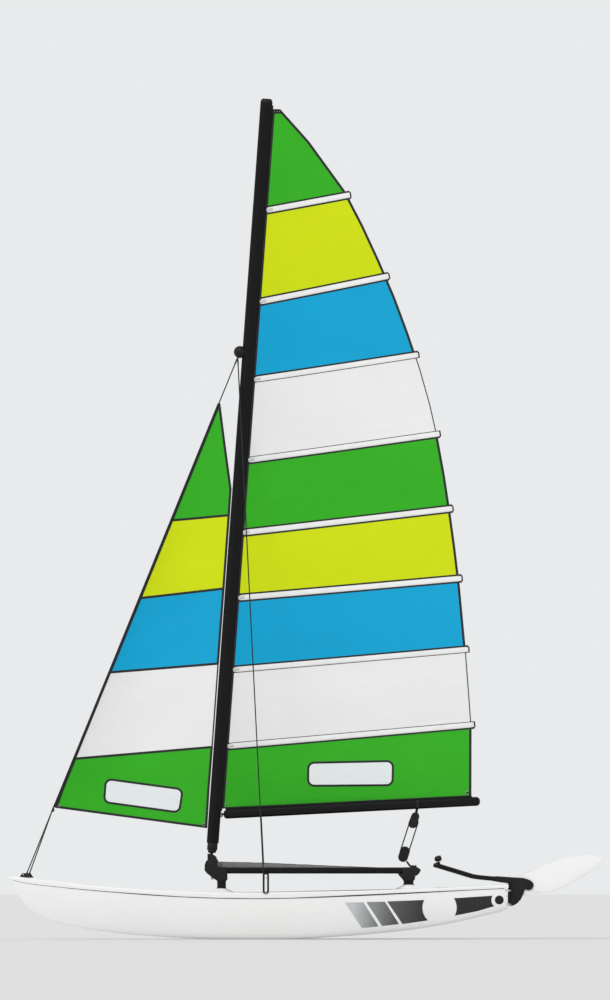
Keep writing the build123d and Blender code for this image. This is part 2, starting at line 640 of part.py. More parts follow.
def make_blade(side):
    """Foil-edged blade, drawn lowered and then kicked up about its bolt."""
    y = side * RUDDER_Y
    flat = prism(BLADE, y - BLADE_T / 2, y + BLADE_T / 2)
    bolt_hole = rod(V(PIVOT[0], y - 40, PIVOT[1]), V(PIVOT[0], y + 40, PIVOT[1]), PIVOT_R + 0.08)
    blade = whole(flat.cut(bolt_hole))
    return rotate_about(blade, V(PIVOT[0], y, PIVOT[1]), KICK_UP)


def make_tiller_arm(side):
    y = side * RUDDER_Y
    pts = [V(4328, y, 751), V(4725, y, 630), V(4933, y, 610.6)]
    arm = rod(pts[0], pts[1], 22).fuse(ball(pts[1], 22), rod(pts[1], pts[2], 22), ball(pts[0], 22))
    boss_z = 747.8
    boss = Solid.make_cylinder(13, 34, Plane(origin=V(TILLER_PIN[0], y, boss_z)))
    arm = arm.fuse(boss)
    if side > 0:
        arm = arm.fuse(Solid.make_cylinder(5, TILLER_PIN[1] + 20 - boss_z, Plane(origin=V(TILLER_PIN[0], y, boss_z))))
    return whole(arm)


def make_tiller_crossbar():
    u, z = TILLER_PIN
    bar = rod(V(u, -RUDDER_Y, z), V(u, RUDDER_Y, z), 13)
    for s in (1, -1):
        bar = bar.fuse(ball(V(u, s * RUDDER_Y, z), 31))
        trim = block(u - 40, u + 40, s * RUDDER_Y - 40, s * RUDDER_Y + 40, z - 40, z - 27)
        bar = bar.cut(trim)
    hole = Solid.make_cylinder(5.08, 100, Plane(origin=V(u, RUDDER_Y, z - 60)))
    return whole(bar.cut(hole))


def make_tiller_extension():
    u, z = TILLER_PIN
    y0, y1 = -600.0, 640.0
    return rod(V(u + 14, y0, z + 22.2), V(u + 14, y1, z + 22.2), 11)


# ---------------------------------------------------------------- assembly
def build():
    mast = make_mast()
    nodes = {
        "hull_port": [make_hull(1)],
        "hull_starboard": [make_hull(-1)],
        "deck_port": [make_deck(1)],
        "deck_starboard": [make_deck(-1)],
        "front_pylons": [post(s, *FRONT_POST) for s in (1, -1)],
        "rear_pylons": [post(s, *REAR_POST) for s in (1, -1)],
        "front_casting_port": [make_casting(1, FRONT_CASTING)],
        "front_casting_starboard": [make_casting(-1, FRONT_CASTING)],
        "rear_casting_port": [make_casting(1, REAR_CASTING)],
        "rear_casting_starboard": [make_casting(-1, REAR_CASTING)],
        "front_crossbar": [oval_bar(*FRONT_BAR, -CASTING_IN, CASTING_IN)],
        "rear_crossbar": [oval_bar(*REAR_BAR, -CASTING_IN, CASTING_IN)],
        "side_rail_port": [make_rail(1)],
        "side_rail_starboard": [make_rail(-1)],
        "dolphin_striker": [make_striker()],
        "mast_step": [make_step()],
        "trampoline_port": [make_trampoline(1)],
        "trampoline_starboard": [make_trampoline(-1)],
        "mast": [mast],
        "mast_base": [make_mast_base()],
        "mast_head": [make_mast_head()],
        "mast_tang": [make_tang(mast)],
        "forestay": [make_forestay()],
        "bridle_port": [make_bridle(1)],
        "bridle_starboard": [make_bridle(-1)],
        "bow_tangs": make_bow_tangs(),
        "shroud_port": [make_shroud(1)],
        "shroud_starboard": [make_shroud(-1)],
        "shroud_adjuster_port": [make_adjuster(1)],
        "shroud_adjuster_starboard": [make_adjuster(-1)],
        "jib": [make_jib()],
        "jib_blocks": make_jib_blocks(),
        "boom": [make_boom()],
        "boom_ends": make_boom_ends(),
        "gooseneck": [make_gooseneck(mast)],
        "mainsail": [make_mainsail()],
        "mainsail_battens": make_battens(),
        "mainsheet_upper_block": [make_upper_block()],
        "mainsheet_lower_block": [make_lower_block()],
        "traveller_track": [make_track()],
        "traveller_car": [make_car()],
        "gudgeons_port": make_gudgeons(1),
        "gudgeons_starboard": make_gudgeons(-1),
        "rudder_casting_port": [make_rudder_casting(1)],
        "rudder_casting_starboard": [make_rudder_casting(-1)],
        "tiller_arm_port": [make_tiller_arm(1)],
        "tiller_arm_starboard": [make_tiller_arm(-1)],
        "rudder_blade_port": [make_blade(1)],
        "rudder_blade_starboard": [make_blade(-1)],
        "tiller_crossbar": [make_tiller_crossbar()],
        "tiller_extension": [make_tiller_extension()],
    }
    return nodes


NODES = build()
_boxes = [s.bounding_box() for group in NODES.values() for s in group]
SHIFT = Vector(
    -(min(b.min.X for b in _boxes) + max(b.max.X for b in _boxes)) / 2,
    0,
    -min(b.min.Z for b in _boxes),
)

os.makedirs("parts", exist_ok=True)
for name, group in NODES.items():
    placed = [s.moved(Location(SHIFT)) for s in group]
    shape = placed[0] if len(placed) == 1 else Compound(children=placed)
    export_step(shape, f"parts/{name}.step")
print("origin shift", SHIFT)
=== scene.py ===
import bpy
import math
import random
import numpy as np
from mathutils import Vector, Matrix


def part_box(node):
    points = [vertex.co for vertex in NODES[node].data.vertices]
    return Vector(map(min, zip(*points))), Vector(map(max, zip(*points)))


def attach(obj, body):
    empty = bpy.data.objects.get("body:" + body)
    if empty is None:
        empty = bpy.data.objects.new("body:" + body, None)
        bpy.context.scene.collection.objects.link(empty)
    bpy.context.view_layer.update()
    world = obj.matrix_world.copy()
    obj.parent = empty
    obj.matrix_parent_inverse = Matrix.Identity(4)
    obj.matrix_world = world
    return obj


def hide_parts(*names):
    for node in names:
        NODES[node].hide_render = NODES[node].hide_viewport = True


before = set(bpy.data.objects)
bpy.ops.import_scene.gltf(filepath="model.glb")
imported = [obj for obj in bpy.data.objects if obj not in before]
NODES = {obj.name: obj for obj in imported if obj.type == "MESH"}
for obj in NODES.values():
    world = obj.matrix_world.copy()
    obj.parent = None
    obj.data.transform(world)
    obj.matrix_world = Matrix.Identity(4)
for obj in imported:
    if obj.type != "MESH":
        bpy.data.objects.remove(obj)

random.seed(7)
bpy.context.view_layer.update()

# ------------------------------------------------------------------ the frame's own coordinates
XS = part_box("deck_port")[1].x                      # the stem head
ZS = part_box("front_crossbar")[0].z - 0.693         # the keels' level


def P(u, y, z):
    """Distance aft of the stem head, lateral place and height, in mm, to a point in the row frame."""
    return Vector((XS - u / 1000.0, y / 1000.0, ZS + z / 1000.0))


# ------------------------------------------------------------------ mesh helpers
def link(o):
    bpy.context.scene.collection.objects.link(o)
    return o


def new_mesh(name, verts, faces, mats=(), smooth=True, sharp=38, face_mat=None, uvs=None):
    me = bpy.data.meshes.new(name)
    me.from_pydata([tuple(v) for v in verts], [], faces)
    me.validate()
    for m in mats if isinstance(mats, (list, tuple)) else [mats]:
        me.materials.append(m)
    if face_mat is not None:
        me.polygons.foreach_set("material_index", face_mat)
    if uvs is not None:
        layer = me.uv_layers.new(name="Weave")
        loop_v = np.zeros(len(me.loops), np.int32)
        me.loops.foreach_get("vertex_index", loop_v)
        layer.data.foreach_set("uv", np.array(uvs, np.float32)[loop_v].ravel())
    me.polygons.foreach_set("use_smooth", [smooth] * len(me.polygons))
    if smooth and sharp:
        me.set_sharp_from_angle(angle=math.radians(sharp))
    me.update()
    return link(bpy.data.objects.new(name, me))


def grid(name, rows, mats, closed_u=False, cap=False, **kw):
    """rows: list of lists of points, all the same length. closed_u joins the last column to the first; cap closes both ends."""
    n, m = len(rows), len(rows[0])
    verts = [p for r in rows for p in r]
    faces = []
    for i in range(n - 1):
        for j in range(m if closed_u else m - 1):
            k = (j + 1) % m
            faces.append((i * m + j, i * m + k, (i + 1) * m + k, (i + 1) * m + j))
    if cap:
        faces.append(tuple(range(m))[::-1])
        faces.append(tuple((n - 1) * m + j for j in range(m)))
    return new_mesh(name, verts, faces, mats, **kw)


def frames_along(pts):
    """Points with tangents and a twist-free pair of normals."""
    pts = [Vector(p) for p in pts]
    tans = []
    for i in range(len(pts)):
        a, b = pts[max(i - 1, 0)], pts[min(i + 1, len(pts) - 1)]
        tans.append((b - a).normalized())
    ref = Vector((0, 1, 0)) if abs(tans[0].y) < 0.9 else Vector((1, 0, 0))
    n = (ref - tans[0] * ref.dot(tans[0])).normalized()
    out = []
    for i, t in enumerate(tans):
        n = (n - t * n.dot(t)).normalized()
        out.append((pts[i], t, n, t.cross(n)))
    return out


def tube(name, pts, r, mat, seg=12, ends=True, **kw):
    """A round tube along points; r is a number or one per point. Its Weave map has the length in metres and the turn."""
    fr = frames_along(pts)
    rs = r if isinstance(r, (list, tuple)) else [r] * len(fr)
    verts, uvs, faces = [], [], []
    s = 0.0
    for i, (p, t, n, b) in enumerate(fr):
        if i:
            s += (p - fr[i - 1][0]).length
        for k in range(seg):
            a = 2 * math.pi * k / seg
            verts.append(p + (n * math.cos(a) + b * math.sin(a)) * rs[i])
            uvs.append((s, k / seg))
    for i in range(len(fr) - 1):
        for k in range(seg):
            k2 = (k + 1) % seg
            faces.append((i * seg + k, i * seg + k2, (i + 1) * seg + k2, (i + 1) * seg + k))
    if ends:
        faces.append(tuple(range(seg))[::-1])
        faces.append(tuple((len(fr) - 1) * seg + k for k in range(seg)))
    return new_mesh(name, verts, faces, mat, uvs=uvs, **kw)


def smooth_path(pts, per=8):
    """Catmull-Rom through the points."""
    pts = [Vector(p) for p in pts]
    q = [pts[0] * 2 - pts[1]] + pts + [pts[-1] * 2 - pts[-2]]
    out = []
    for i in range(1, len(q) - 2):
        for k in range(per):
            t = k / per
            a, b, c, d = q[i - 1], q[i], q[i + 1], q[i + 2]
            out.append(0.5 * ((2 * b) + (c - a) * t + (2 * a - 5 * b + 4 * c - d) * t * t + (3 * b - a - 3 * c + d) * t ** 3))
    out.append(pts[-1])
    return out


def lathe(name, profile, origin, axis, mat, seg=32, **kw):
    """profile: (radius, distance along axis) pairs, turned about the axis through origin."""
    axis = Vector(axis).normalized()
    ref = Vector((0, 0, 1)) if abs(axis.z) < 0.9 else Vector((1, 0, 0))
    n = (ref - axis * ref.dot(axis)).normalized()
    b = axis.cross(n)
    o = Vector(origin)
    rows = []
    for r, h in profile:
        rows.append([o + axis * h + (n * math.cos(2 * math.pi * k / seg) + b * math.sin(2 * math.pi * k / seg)) * max(r, 1e-5) for k in range(seg)])
    return grid(name, rows, mat, closed_u=True, cap=True, **kw)


def prism_mesh(name, outline, y0, y1, mat, bevel=0.0, seg=3, **kw):
    """A plate with its outline in the fore-and-aft plane (u, z in mm) between lateral y0 and y1 (mm), with rounded edges."""
    n = len(outline)
    verts = [P(u, y0, z) for u, z in outline] + [P(u, y1, z) for u, z in outline]
    faces = [tuple(range(n)), tuple(range(n, 2 * n))[::-1]]
    faces += [(i, i + n, (i + 1) % n + n, (i + 1) % n) for i in range(n)]
    o = new_mesh(name, verts, faces, mat, **kw)
    fix_normals(o)
    if bevel:
        add_bevel(o, bevel / 1000.0, seg)
    return o


def fix_normals(o):
    import bmesh
    bm = bmesh.new()
    bm.from_mesh(o.data)
    bmesh.ops.recalc_face_normals(bm, faces=bm.faces[:])
    bm.to_mesh(o.data)
    bm.free()
    return o


def add_bevel(o, width, seg=3, angle=30):
    m = o.modifiers.new("Bevel", "BEVEL")
    m.width, m.segments, m.limit_method, m.angle_limit = width, seg, "ANGLE", math.radians(angle)
    m.harden_normals = False
    o.data.polygons.foreach_set("use_smooth", [True] * len(o.data.polygons))
    return o


def box_mesh(name, lo, hi, mat, bevel=0.0, seg=2):
    """A block between two corner points in the row frame, with rounded edges."""
    a, b = Vector(map(min, lo, hi)), Vector(map(max, lo, hi))
    v = [Vector((x, y, z)) for x in (a.x, b.x) for y in (a.y, b.y) for z in (a.z, b.z)]
    f = [(0, 1, 3, 2), (4, 6, 7, 5), (0, 4, 5, 1), (2, 3, 7, 6), (0, 2, 6, 4), (1, 5, 7, 3)]
    o = new_mesh(name, v, f, mat)
    fix_normals(o)
    if bevel:
        add_bevel(o, bevel, seg)
    return o


def join(name, objs, body=None):
    """Several meshes as one piece, their modifiers applied."""
    dg = bpy.context.evaluated_depsgraph_get()
    for o in objs:
        if o.modifiers:
            bpy.context.view_layer.update()
            me = bpy.data.meshes.new_from_object(o.evaluated_get(dg))
            if o.modifiers[0].type == "SOLIDIFY":
                me.set_sharp_from_angle(angle=math.radians(40))
            o.modifiers.clear()
            o.data = me
    mats, verts, faces, fm, smooth, uvs, has_uv = [], [], [], [], [], [], False
    sharp = []
    for o in objs:
        base = len(verts)
        me = o.data
        idx = []
        for m in me.materials:
            if m not in mats:
                mats.append(m)
            idx.append(mats.index(m))
        verts += [o.matrix_world @ v.co for v in me.vertices]
        layer = me.uv_layers.get("Weave")
        for p in me.polygons:
            faces.append([base + i for i in p.vertices])
            fm.append(idx[p.material_index] if idx else 0)
            smooth.append(p.use_smooth)
            if layer:
                has_uv = True
                uvs += [tuple(layer.data[i].uv) for i in p.loop_indices]
            else:
                uvs += [(0.0, 0.0)] * len(p.vertices)
        at = me.attributes.get("sharp_edge")
        if at:
            for e, s in zip(me.edges, at.data):
                if s.value:
                    sharp.append((base + e.vertices[0], base + e.vertices[1]))
    me = bpy.data.meshes.new(name)
    me.from_pydata([tuple(v) for v in verts], [], faces)
    for m in mats:
        me.materials.append(m)
    me.polygons.foreach_set("material_index", fm)
    me.polygons.foreach_set("use_smooth", smooth)
    if has_uv:
        me.uv_layers.new(name="Weave").data.foreach_set("uv", np.array(uvs, np.float32).ravel())
    if sharp:
        keys = {tuple(sorted(e.vertices)): e.index for e in me.edges}
        at = me.attributes.new("sharp_edge", "BOOLEAN", "EDGE")
        for a, b in sharp:
            i = keys.get((min(a, b), max(a, b)))
            if i is not None:
                at.data[i].value = True
    me.update()
    for o in objs:
        bpy.data.objects.remove(o)
    out = link(bpy.data.objects.new(name, me))
    if body:
        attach(out, body)
    return out


def ride(o, body):
    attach(o, body)
    return o


# ------------------------------------------------------------------ materials
def srgb(r, g, b):
    def f(c):
        c /= 255.0
        return c / 12.92 if c <= 0.04045 else ((c + 0.055) / 1.055) ** 2.4
    return (f(r), f(g), f(b), 1.0)


class Mat:
    """A small builder for node materials around one Principled shader."""

    def __init__(self, name):
        self.m = bpy.data.materials.new(name)
        self.m.use_nodes = True
        self.nt = self.m.node_tree
        self.nt.nodes.clear()
        self.out = self.nt.nodes.new("ShaderNodeOutputMaterial")
        self.b = self.nt.nodes.new("ShaderNodeBsdfPrincipled")
        self.nt.links.new(self.b.outputs[0], self.out.inputs[0])
        self.tc = self.nt.nodes.new("ShaderNodeTexCoord")
        self.obj = self.tc.outputs["Object"]
        self.normal = None

    def set(self, **kw):
        for k, v in kw.items():
            self.b.inputs[k.replace("_", " ")].default_value = v
        return self

    def n(self, kind, **kw):
        node = self.nt.nodes.new(kind)
        for k, v in kw.items():
            setattr(node, k, v)
        return node

    def link(self, a, b):
        self.nt.links.new(a, b)

    def scaled(self, sx, sy, sz, rot=(0, 0, 0), src=None):
        mp = self.n("ShaderNodeMapping")
        mp.inputs["Scale"].default_value = (sx, sy, sz)
        mp.inputs["Rotation"].default_value = rot
        self.link(src or self.obj, mp.inputs["Vector"])
        return mp.outputs[0]

    def noise(self, vec, scale=1.0, detail=3.0, rough=0.5, distort=0.0):
        t = self.n("ShaderNodeTexNoise")
        t.inputs["Scale"].default_value = scale
        t.inputs["Detail"].default_value = detail
        t.inputs["Roughness"].default_value = rough
        t.inputs["Distortion"].default_value = distort
        self.link(vec, t.inputs["Vector"])
        return t.outputs[0]

    def voronoi(self, vec, scale=1.0, feature="F1"):
        t = self.n("ShaderNodeTexVoronoi", feature=feature)
        t.inputs["Scale"].default_value = scale
        self.link(vec, t.inputs["Vector"])
        return t.outputs["Distance"]

    def wave(self, vec, scale, direction="X", profile="SIN", distort=0.0):
        t = self.n("ShaderNodeTexWave", wave_type="BANDS", bands_direction=direction, wave_profile=profile)
        t.inputs["Scale"].default_value = scale
        t.inputs["Distortion"].default_value = distort
        self.link(vec, t.inputs["Vector"])
        return t.outputs["Fac"]

    def math(self, op, a, b=None, c=None, clamp=False):
        t = self.n("ShaderNodeMath", operation=op, use_clamp=clamp)
        for i, v in enumerate((a, b, c)):
            if v is None:
                continue
            if isinstance(v, (int, float)):
                t.inputs[i].default_value = v
            else:
                self.link(v, t.inputs[i])
        return t.outputs[0]

    def ramp(self, fac, stops):
        t = self.n("ShaderNodeValToRGB")
        e = t.color_ramp.elements
        while len(e) > 1:
            e.remove(e[-1])
        e[0].position, e[0].color = stops[0]
        for pos, col in stops[1:]:
            x = e.new(pos)
            x.color = col
        self.link(fac, t.inputs[0])
        return t.outputs[0]

    def remap(self, fac, a, b, c, d):
        t = self.n("ShaderNodeMapRange")
        for i, v in zip((1, 2, 3, 4), (a, b, c, d)):
            t.inputs[i].default_value = v
        self.link(fac, t.inputs[0])
        return t.outputs[0]

    def mix(self, fac, a, b):
        t = self.n("ShaderNodeMix", data_type="RGBA")
        if isinstance(fac, (int, float)):
            t.inputs[0].default_value = fac
        else:
            self.link(fac, t.inputs[0])
        for i, v in ((6, a), (7, b)):
            if isinstance(v, (tuple, list)):
                t.inputs[i].default_value = v
            else:
                self.link(v, t.inputs[i])
        return t.outputs[2]

    def color(self, c):
        if isinstance(c, (tuple, list)):
            self.b.inputs["Base Color"].default_value = c
        else:
            self.link(c, self.b.inputs["Base Color"])
        return self

    def rough(self, r):
        self.link(r, self.b.inputs["Roughness"])
        return self

    def bump(self, height, strength=0.3, distance=0.001):
        t = self.n("ShaderNodeBump")
        t.inputs["Strength"].default_value = strength
        t.inputs["Distance"].default_value = distance
        self.link(height, t.inputs["Height"])
        if self.normal is not None:
            self.link(self.normal, t.inputs["Normal"])
        self.normal = t.outputs[0]
        self.link(self.normal, self.b.inputs["Normal"])
        return self

    def uv(self):
        t = self.n("ShaderNodeUVMap", uv_map="Weave")
        return t.outputs[0]


def scale_color(c, k):
    return (c[0] * k, c[1] * k, c[2] * k, 1.0)


def gelcoat(name, base=(0.86, 0.865, 0.86, 1)):
    m = Mat(name)
    big = m.noise(m.scaled(0.7, 1.2, 1.6), 1.0, 4)
    m.color(m.mix(m.remap(big, 0.35, 0.7, 0, 1), base, (base[0] * 0.988, base[1] * 0.987, base[2] * 0.980, 1)))
    fine = m.noise(m.obj, 4, 3, 0.5)
    m.rough(m.remap(fine, 0.25, 0.75, 0.20, 0.26))
    m.set(Coat_Weight=0.5, Coat_Roughness=0.06, Specular_IOR_Level=0.5, IOR=1.5)
    m.bump(m.noise(m.scaled(1.2, 3, 4), 1.0, 2), 0.05, 0.002)
    return m


def sailcloth(name, col, dark=0.93):
    m = Mat(name)
    weave_a = m.wave(m.obj, 330, "X")
    weave_b = m.wave(m.obj, 330, "Z")
    weave = m.math("MAXIMUM", weave_a, weave_b)
    slub = m.noise(m.scaled(6, 6, 120), 1.0, 4)
    cloud = m.noise(m.scaled(1.1, 1, 1.6), 1.0, 4)
    c1 = m.mix(m.remap(cloud, 0.3, 0.72, 0, 1), col, scale_color(col, dark))
    c2 = m.mix(m.remap(slub, 0.45, 0.75, 0, 0.35), c1, scale_color(col, dark * 0.93))
    m.color(c2)
    m.rough(m.remap(m.noise(m.obj, 9, 4), 0.3, 0.7, 0.46, 0.62))
    m.set(Specular_IOR_Level=0.2, Sheen_Weight=0.03, Sheen_Roughness=0.4)
    m.bump(weave, 0.18, 0.0004)
    m.bump(m.noise(m.scaled(3.2, 3, 7.5), 1.0, 5, 0.55, 0.6), 0.35, 0.006)
    return m


def black_alloy(name, base=0.012, metallic=0.25, streak=(0.6, 1, 1)):
    m = Mat(name)
    st = m.noise(m.scaled(900 * streak[0], 900 * streak[1], 900 * streak[2]), 1.0, 2)
    wear = m.noise(m.obj, 22, 6, 0.7)
    c = m.mix(m.remap(wear, 0.62, 0.8, 0, 0.5), (base, base, base * 1.05, 1), (base * 3.4, base * 3.4, base * 3.6, 1))
    m.color(c)
    m.rough(m.remap(m.noise(m.obj, 6, 4), 0.3, 0.7, 0.34, 0.5))
    m.set(Metallic=metallic, Specular_IOR_Level=0.18)
    m.bump(st, 0.05, 0.0003)
    return m


def casting_black(name="casting_powder_coat", base=0.008):
    m = Mat(name)
    wear = m.noise(m.obj, 40, 6, 0.65)
    m.color(m.mix(m.remap(wear, 0.6, 0.8, 0, 0.6), (base, base, base, 1), (base * 3, base * 3, base * 3.1, 1)))
    m.rough(m.remap(m.noise(m.obj, 12, 4), 0.3, 0.7, 0.42, 0.58))
    m.set(Specular_IOR_Level=0.22)
    m.bump(m.noise(m.obj, 420, 2), 0.25, 0.0005)
    return m


def steel(name="stainless", base=0.5, rough=(0.2, 0.36)):
    m = Mat(name)
    m.color(m.mix(m.noise(m.obj, 30, 4), (base, base, base * 1.02, 1), (base * 0.8, base * 0.8, base * 0.83, 1)))
    m.rough(m.remap(m.noise(m.scaled(60, 400, 60), 1, 3), 0.3, 0.7, rough[0], rough[1]))
    m.set(Metallic=1.0)
    m.bump(m.noise(m.scaled(80, 700, 80), 1, 2), 0.06, 0.0003)
    return m


def wire_mat(name="coated_wire", base=0.006):
    """Twisted stay under a thin dark sleeve: the lay shows as slanted ridges, bumped, with painted highlights on their
    crests.
    """
    m = Mat(name)
    sx = m.n("ShaderNodeSeparateXYZ")
    m.link(m.uv(), sx.inputs[0])
    lay = m.math("SINE", m.math("ADD", m.math("MULTIPLY", sx.outputs[0], 420.0), m.math("MULTIPLY", sx.outputs[1], 6 * 2 * math.pi)))
    # painted highlight: the colour is lighter on the crests of the lay and darker in its grooves
    m.color(m.mix(m.remap(lay, -1, 1, 0, 1), (base, base, base, 1), (base * 3.2, base * 3.2, base * 3.4, 1)))
    m.rough(m.remap(m.noise(m.obj, 30, 3), 0.3, 0.7, 0.35, 0.5))
    m.set(Specular_IOR_Level=0.22)
    m.bump(lay, 0.5, 0.0006)
    return m


def rope_mat(name, a, b, twist=260.0, turns=4):
    """Braided rope: two sets of slanted strands, with a fleck of the second colour."""
    m = Mat(name)
    sx = m.n("ShaderNodeSeparateXYZ")
    m.link(m.uv(), sx.inputs[0])
    s = m.math("MULTIPLY", sx.outputs[0], twist)
    t = m.math("MULTIPLY", sx.outputs[1], turns * 2 * math.pi)
    p = m.math("SINE", m.math("ADD", s, t))
    q = m.math("SINE", m.math("SUBTRACT", s, t))
    braid = m.math("MAXIMUM", p, q)
    fleck = m.math("GREATER_THAN", m.math("MULTIPLY", p, q), 0.25)
    m.color(m.mix(fleck, a, b))
    m.rough(m.remap(m.noise(m.obj, 80, 3), 0.3, 0.7, 0.7, 0.88))
    m.set(Specular_IOR_Level=0.25, Sheen_Weight=0.15)
    m.bump(braid, 0.6, 0.0008)
    return m


def webbing_mat(name, col):
    m = Mat(name)
    rib = m.math("MULTIPLY", m.wave(m.obj, 160, "X"), m.wave(m.obj, 160, "Y"))
    # painted highlight: lighter on the raised ribs of the weave, following the bump
    m.color(m.mix(m.remap(rib, 0, 1, 0, 1), col, scale_color(col, 1.8)))
    m.rough(m.remap(m.noise(m.obj, 40, 3), 0.3, 0.7, 0.7, 0.85))
    m.set(Specular_IOR_Level=0.3, Sheen_Weight=0.2)
    m.bump(rib, 0.5, 0.0008)
    return m


def mesh_cloth(name="trampoline_weave"):
    """Open polypropylene weave: flat warp and weft tapes, over and under; the gaps between them are painted shade, near
    black, instead of holes.
    """
    m = Mat(name)
    wx = m.wave(m.obj, 78, "X")
    wy = m.wave(m.obj, 78, "Y")
    hi = m.math("MAXIMUM", wx, wy)
    cell = m.math("MULTIPLY", wx, wy)
    cloud = m.noise(m.scaled(1.6, 1.6, 1), 1, 4)
    base = m.mix(m.remap(cloud, 0.3, 0.7, 0, 1), (0.135, 0.132, 0.131, 1), (0.112, 0.110, 0.110, 1))
    # painted shade: near black wherever the tapes don't cross, standing in for the open holes
    m.color(m.mix(m.remap(cell, 0.0, 0.7, 0.65, 0), base, (0.035, 0.035, 0.036, 1)))
    m.rough(m.remap(m.noise(m.obj, 20, 3), 0.3, 0.7, 0.5, 0.66))
    m.set(Specular_IOR_Level=0.4, Sheen_Weight=0.1)
    m.bump(hi, 0.7, 0.0012)
    m.bump(m.noise(m.scaled(2.2, 2.2, 2), 1, 3), 0.35, 0.01)
    return m


def plastic(name, col, rough=(0.35, 0.5), bump=0.12):
    m = Mat(name)
    m.color(m.mix(m.noise(m.obj, 18, 4), col, scale_color(col, 0.82)))
    m.rough(m.remap(m.noise(m.obj, 26, 4), 0.3, 0.7, rough[0], rough[1]))
    m.set(Specular_IOR_Level=0.26)
    m.bump(m.noise(m.obj, 380, 2), bump, 0.0004)
    return m


def tape_mat(name, col):
    """Sail edge tape: glued woven tape with rows of zigzag stitching."""
    m = Mat(name)
    st = m.wave(m.scaled(1, 1, 1, (0, math.radians(45), 0)), 120, "X")
    m.color(m.mix(m.remap(m.noise(m.obj, 12, 4), 0.3, 0.7, 0, 1), col, (col[0] * 1.6 + 0.004, col[1] * 1.6 + 0.004, col[2] * 1.6 + 0.004, 1)))
    m.rough(m.remap(m.noise(m.obj, 24, 3), 0.3, 0.7, 0.55, 0.7))
    m.set(Specular_IOR_Level=0.3)
    m.bump(st, 0.35, 0.0005)
    return m



def vinyl(name):
    """Clear window sheet, slightly milky, with soft ripples."""
    m = Mat(name)
    m.color((0.80, 0.86, 0.86, 1))
    m.rough(m.remap(m.noise(m.obj, 6, 3), 0.3, 0.7, 0.05, 0.16))
    m.set(Alpha=0.42, Specular_IOR_Level=0.5, IOR=1.5)
    m.bump(m.noise(m.scaled(7, 7, 7), 1.0, 2), 0.3, 0.004)
    return m


def pocket_mat(name):
    """White pocket cloth with two rows of zigzag thread along its edges."""
    m = Mat(name)
    sx = m.n("ShaderNodeSeparateXYZ")
    m.link(m.uv(), sx.inputs[0])
    across = m.math("ABSOLUTE", m.math("SUBTRACT", sx.outputs[1], 0.5))
    zig = m.math("MULTIPLY", m.math("PINGPONG", sx.outputs[0], 0.004), 5.0)
    d = m.math("ABSOLUTE", m.math("SUBTRACT", across, m.math("ADD", zig, 0.36)))
    thread = m.math("LESS_THAN", d, 0.012)
    cloth = m.mix(m.remap(m.noise(m.obj, 7, 4), 0.3, 0.7, 0, 1), (0.86, 0.86, 0.86, 1), (0.79, 0.79, 0.785, 1))
    m.color(m.mix(m.math("MULTIPLY", thread, 0.55), cloth, (0.45, 0.45, 0.46, 1)))
    m.rough(m.remap(m.noise(m.obj, 12, 4), 0.3, 0.7, 0.5, 0.66))
    m.set(Specular_IOR_Level=0.3)
    m.bump(m.wave(m.obj, 260, "Z"), 0.2, 0.0004)
    m.bump(thread, 0.5, 0.0008)
    return m



def film_mat(name, a, b, x0, x1, mesh=0.0, base_mix=0.0):
    """Printed film with a soft change of tone along the hull and a fine honeycomb screen."""
    m = Mat(name)
    sx = m.n("ShaderNodeSeparateXYZ")
    m.link(m.obj, sx.inputs[0])
    grad = m.remap(sx.outputs[0], x0, x1, 0.0, 1.0)
    tone = m.mix(m.math("ADD", grad, m.math("MULTIPLY", m.math("SUBTRACT", m.noise(m.obj, 4, 2), 0.5), 0.1), clamp=True), a, b)
    if mesh:
        def lattice(ox, oz):
            fx = m.math("ABSOLUTE", m.math("SUBTRACT", m.math("FRACT", m.math("ADD", m.math("MULTIPLY", sx.outputs[0], 1 / 0.020), ox)), 0.5))
            fz = m.math("ABSOLUTE", m.math("SUBTRACT", m.math("FRACT", m.math("ADD", m.math("MULTIPLY", sx.outputs[2], 1 / 0.03464), oz)), 0.5))
            return fx, m.math("SQRT", m.math("ADD", m.math("MULTIPLY", fx, fx), m.math("MULTIPLY", m.math("MULTIPLY", fz, fz), 3.0)))
        (fa, da), (fb, db) = lattice(0.0, 0.0), lattice(0.5, 0.5)
        slanted = m.remap(m.math("ABSOLUTE", m.math("SUBTRACT", da, db)), 0.03, 0.11, 1.0, 0.0)
        upright_a = m.math("MULTIPLY", m.remap(fa, 0.42, 0.47, 0.0, 1.0), m.math("LESS_THAN", da, db))
        upright_b = m.math("MULTIPLY", m.remap(fb, 0.42, 0.47, 0.0, 1.0), m.math("LESS_THAN", db, da))
        wall = m.math("MAXIMUM", slanted, m.math("MAXIMUM", upright_a, upright_b))
        tone = m.mix(m.math("MULTIPLY", wall, mesh), tone, (0.11, 0.11, 0.11, 1))
        m.bump(wall, 0.15, 0.0004)
    m.color(tone)
    m.rough(m.remap(m.noise(m.obj, 20, 3), 0.3, 0.7, 0.22, 0.34))
    m.set(Specular_IOR_Level=0.25, Coat_Weight=0.1, Coat_Roughness=0.08)
    return m


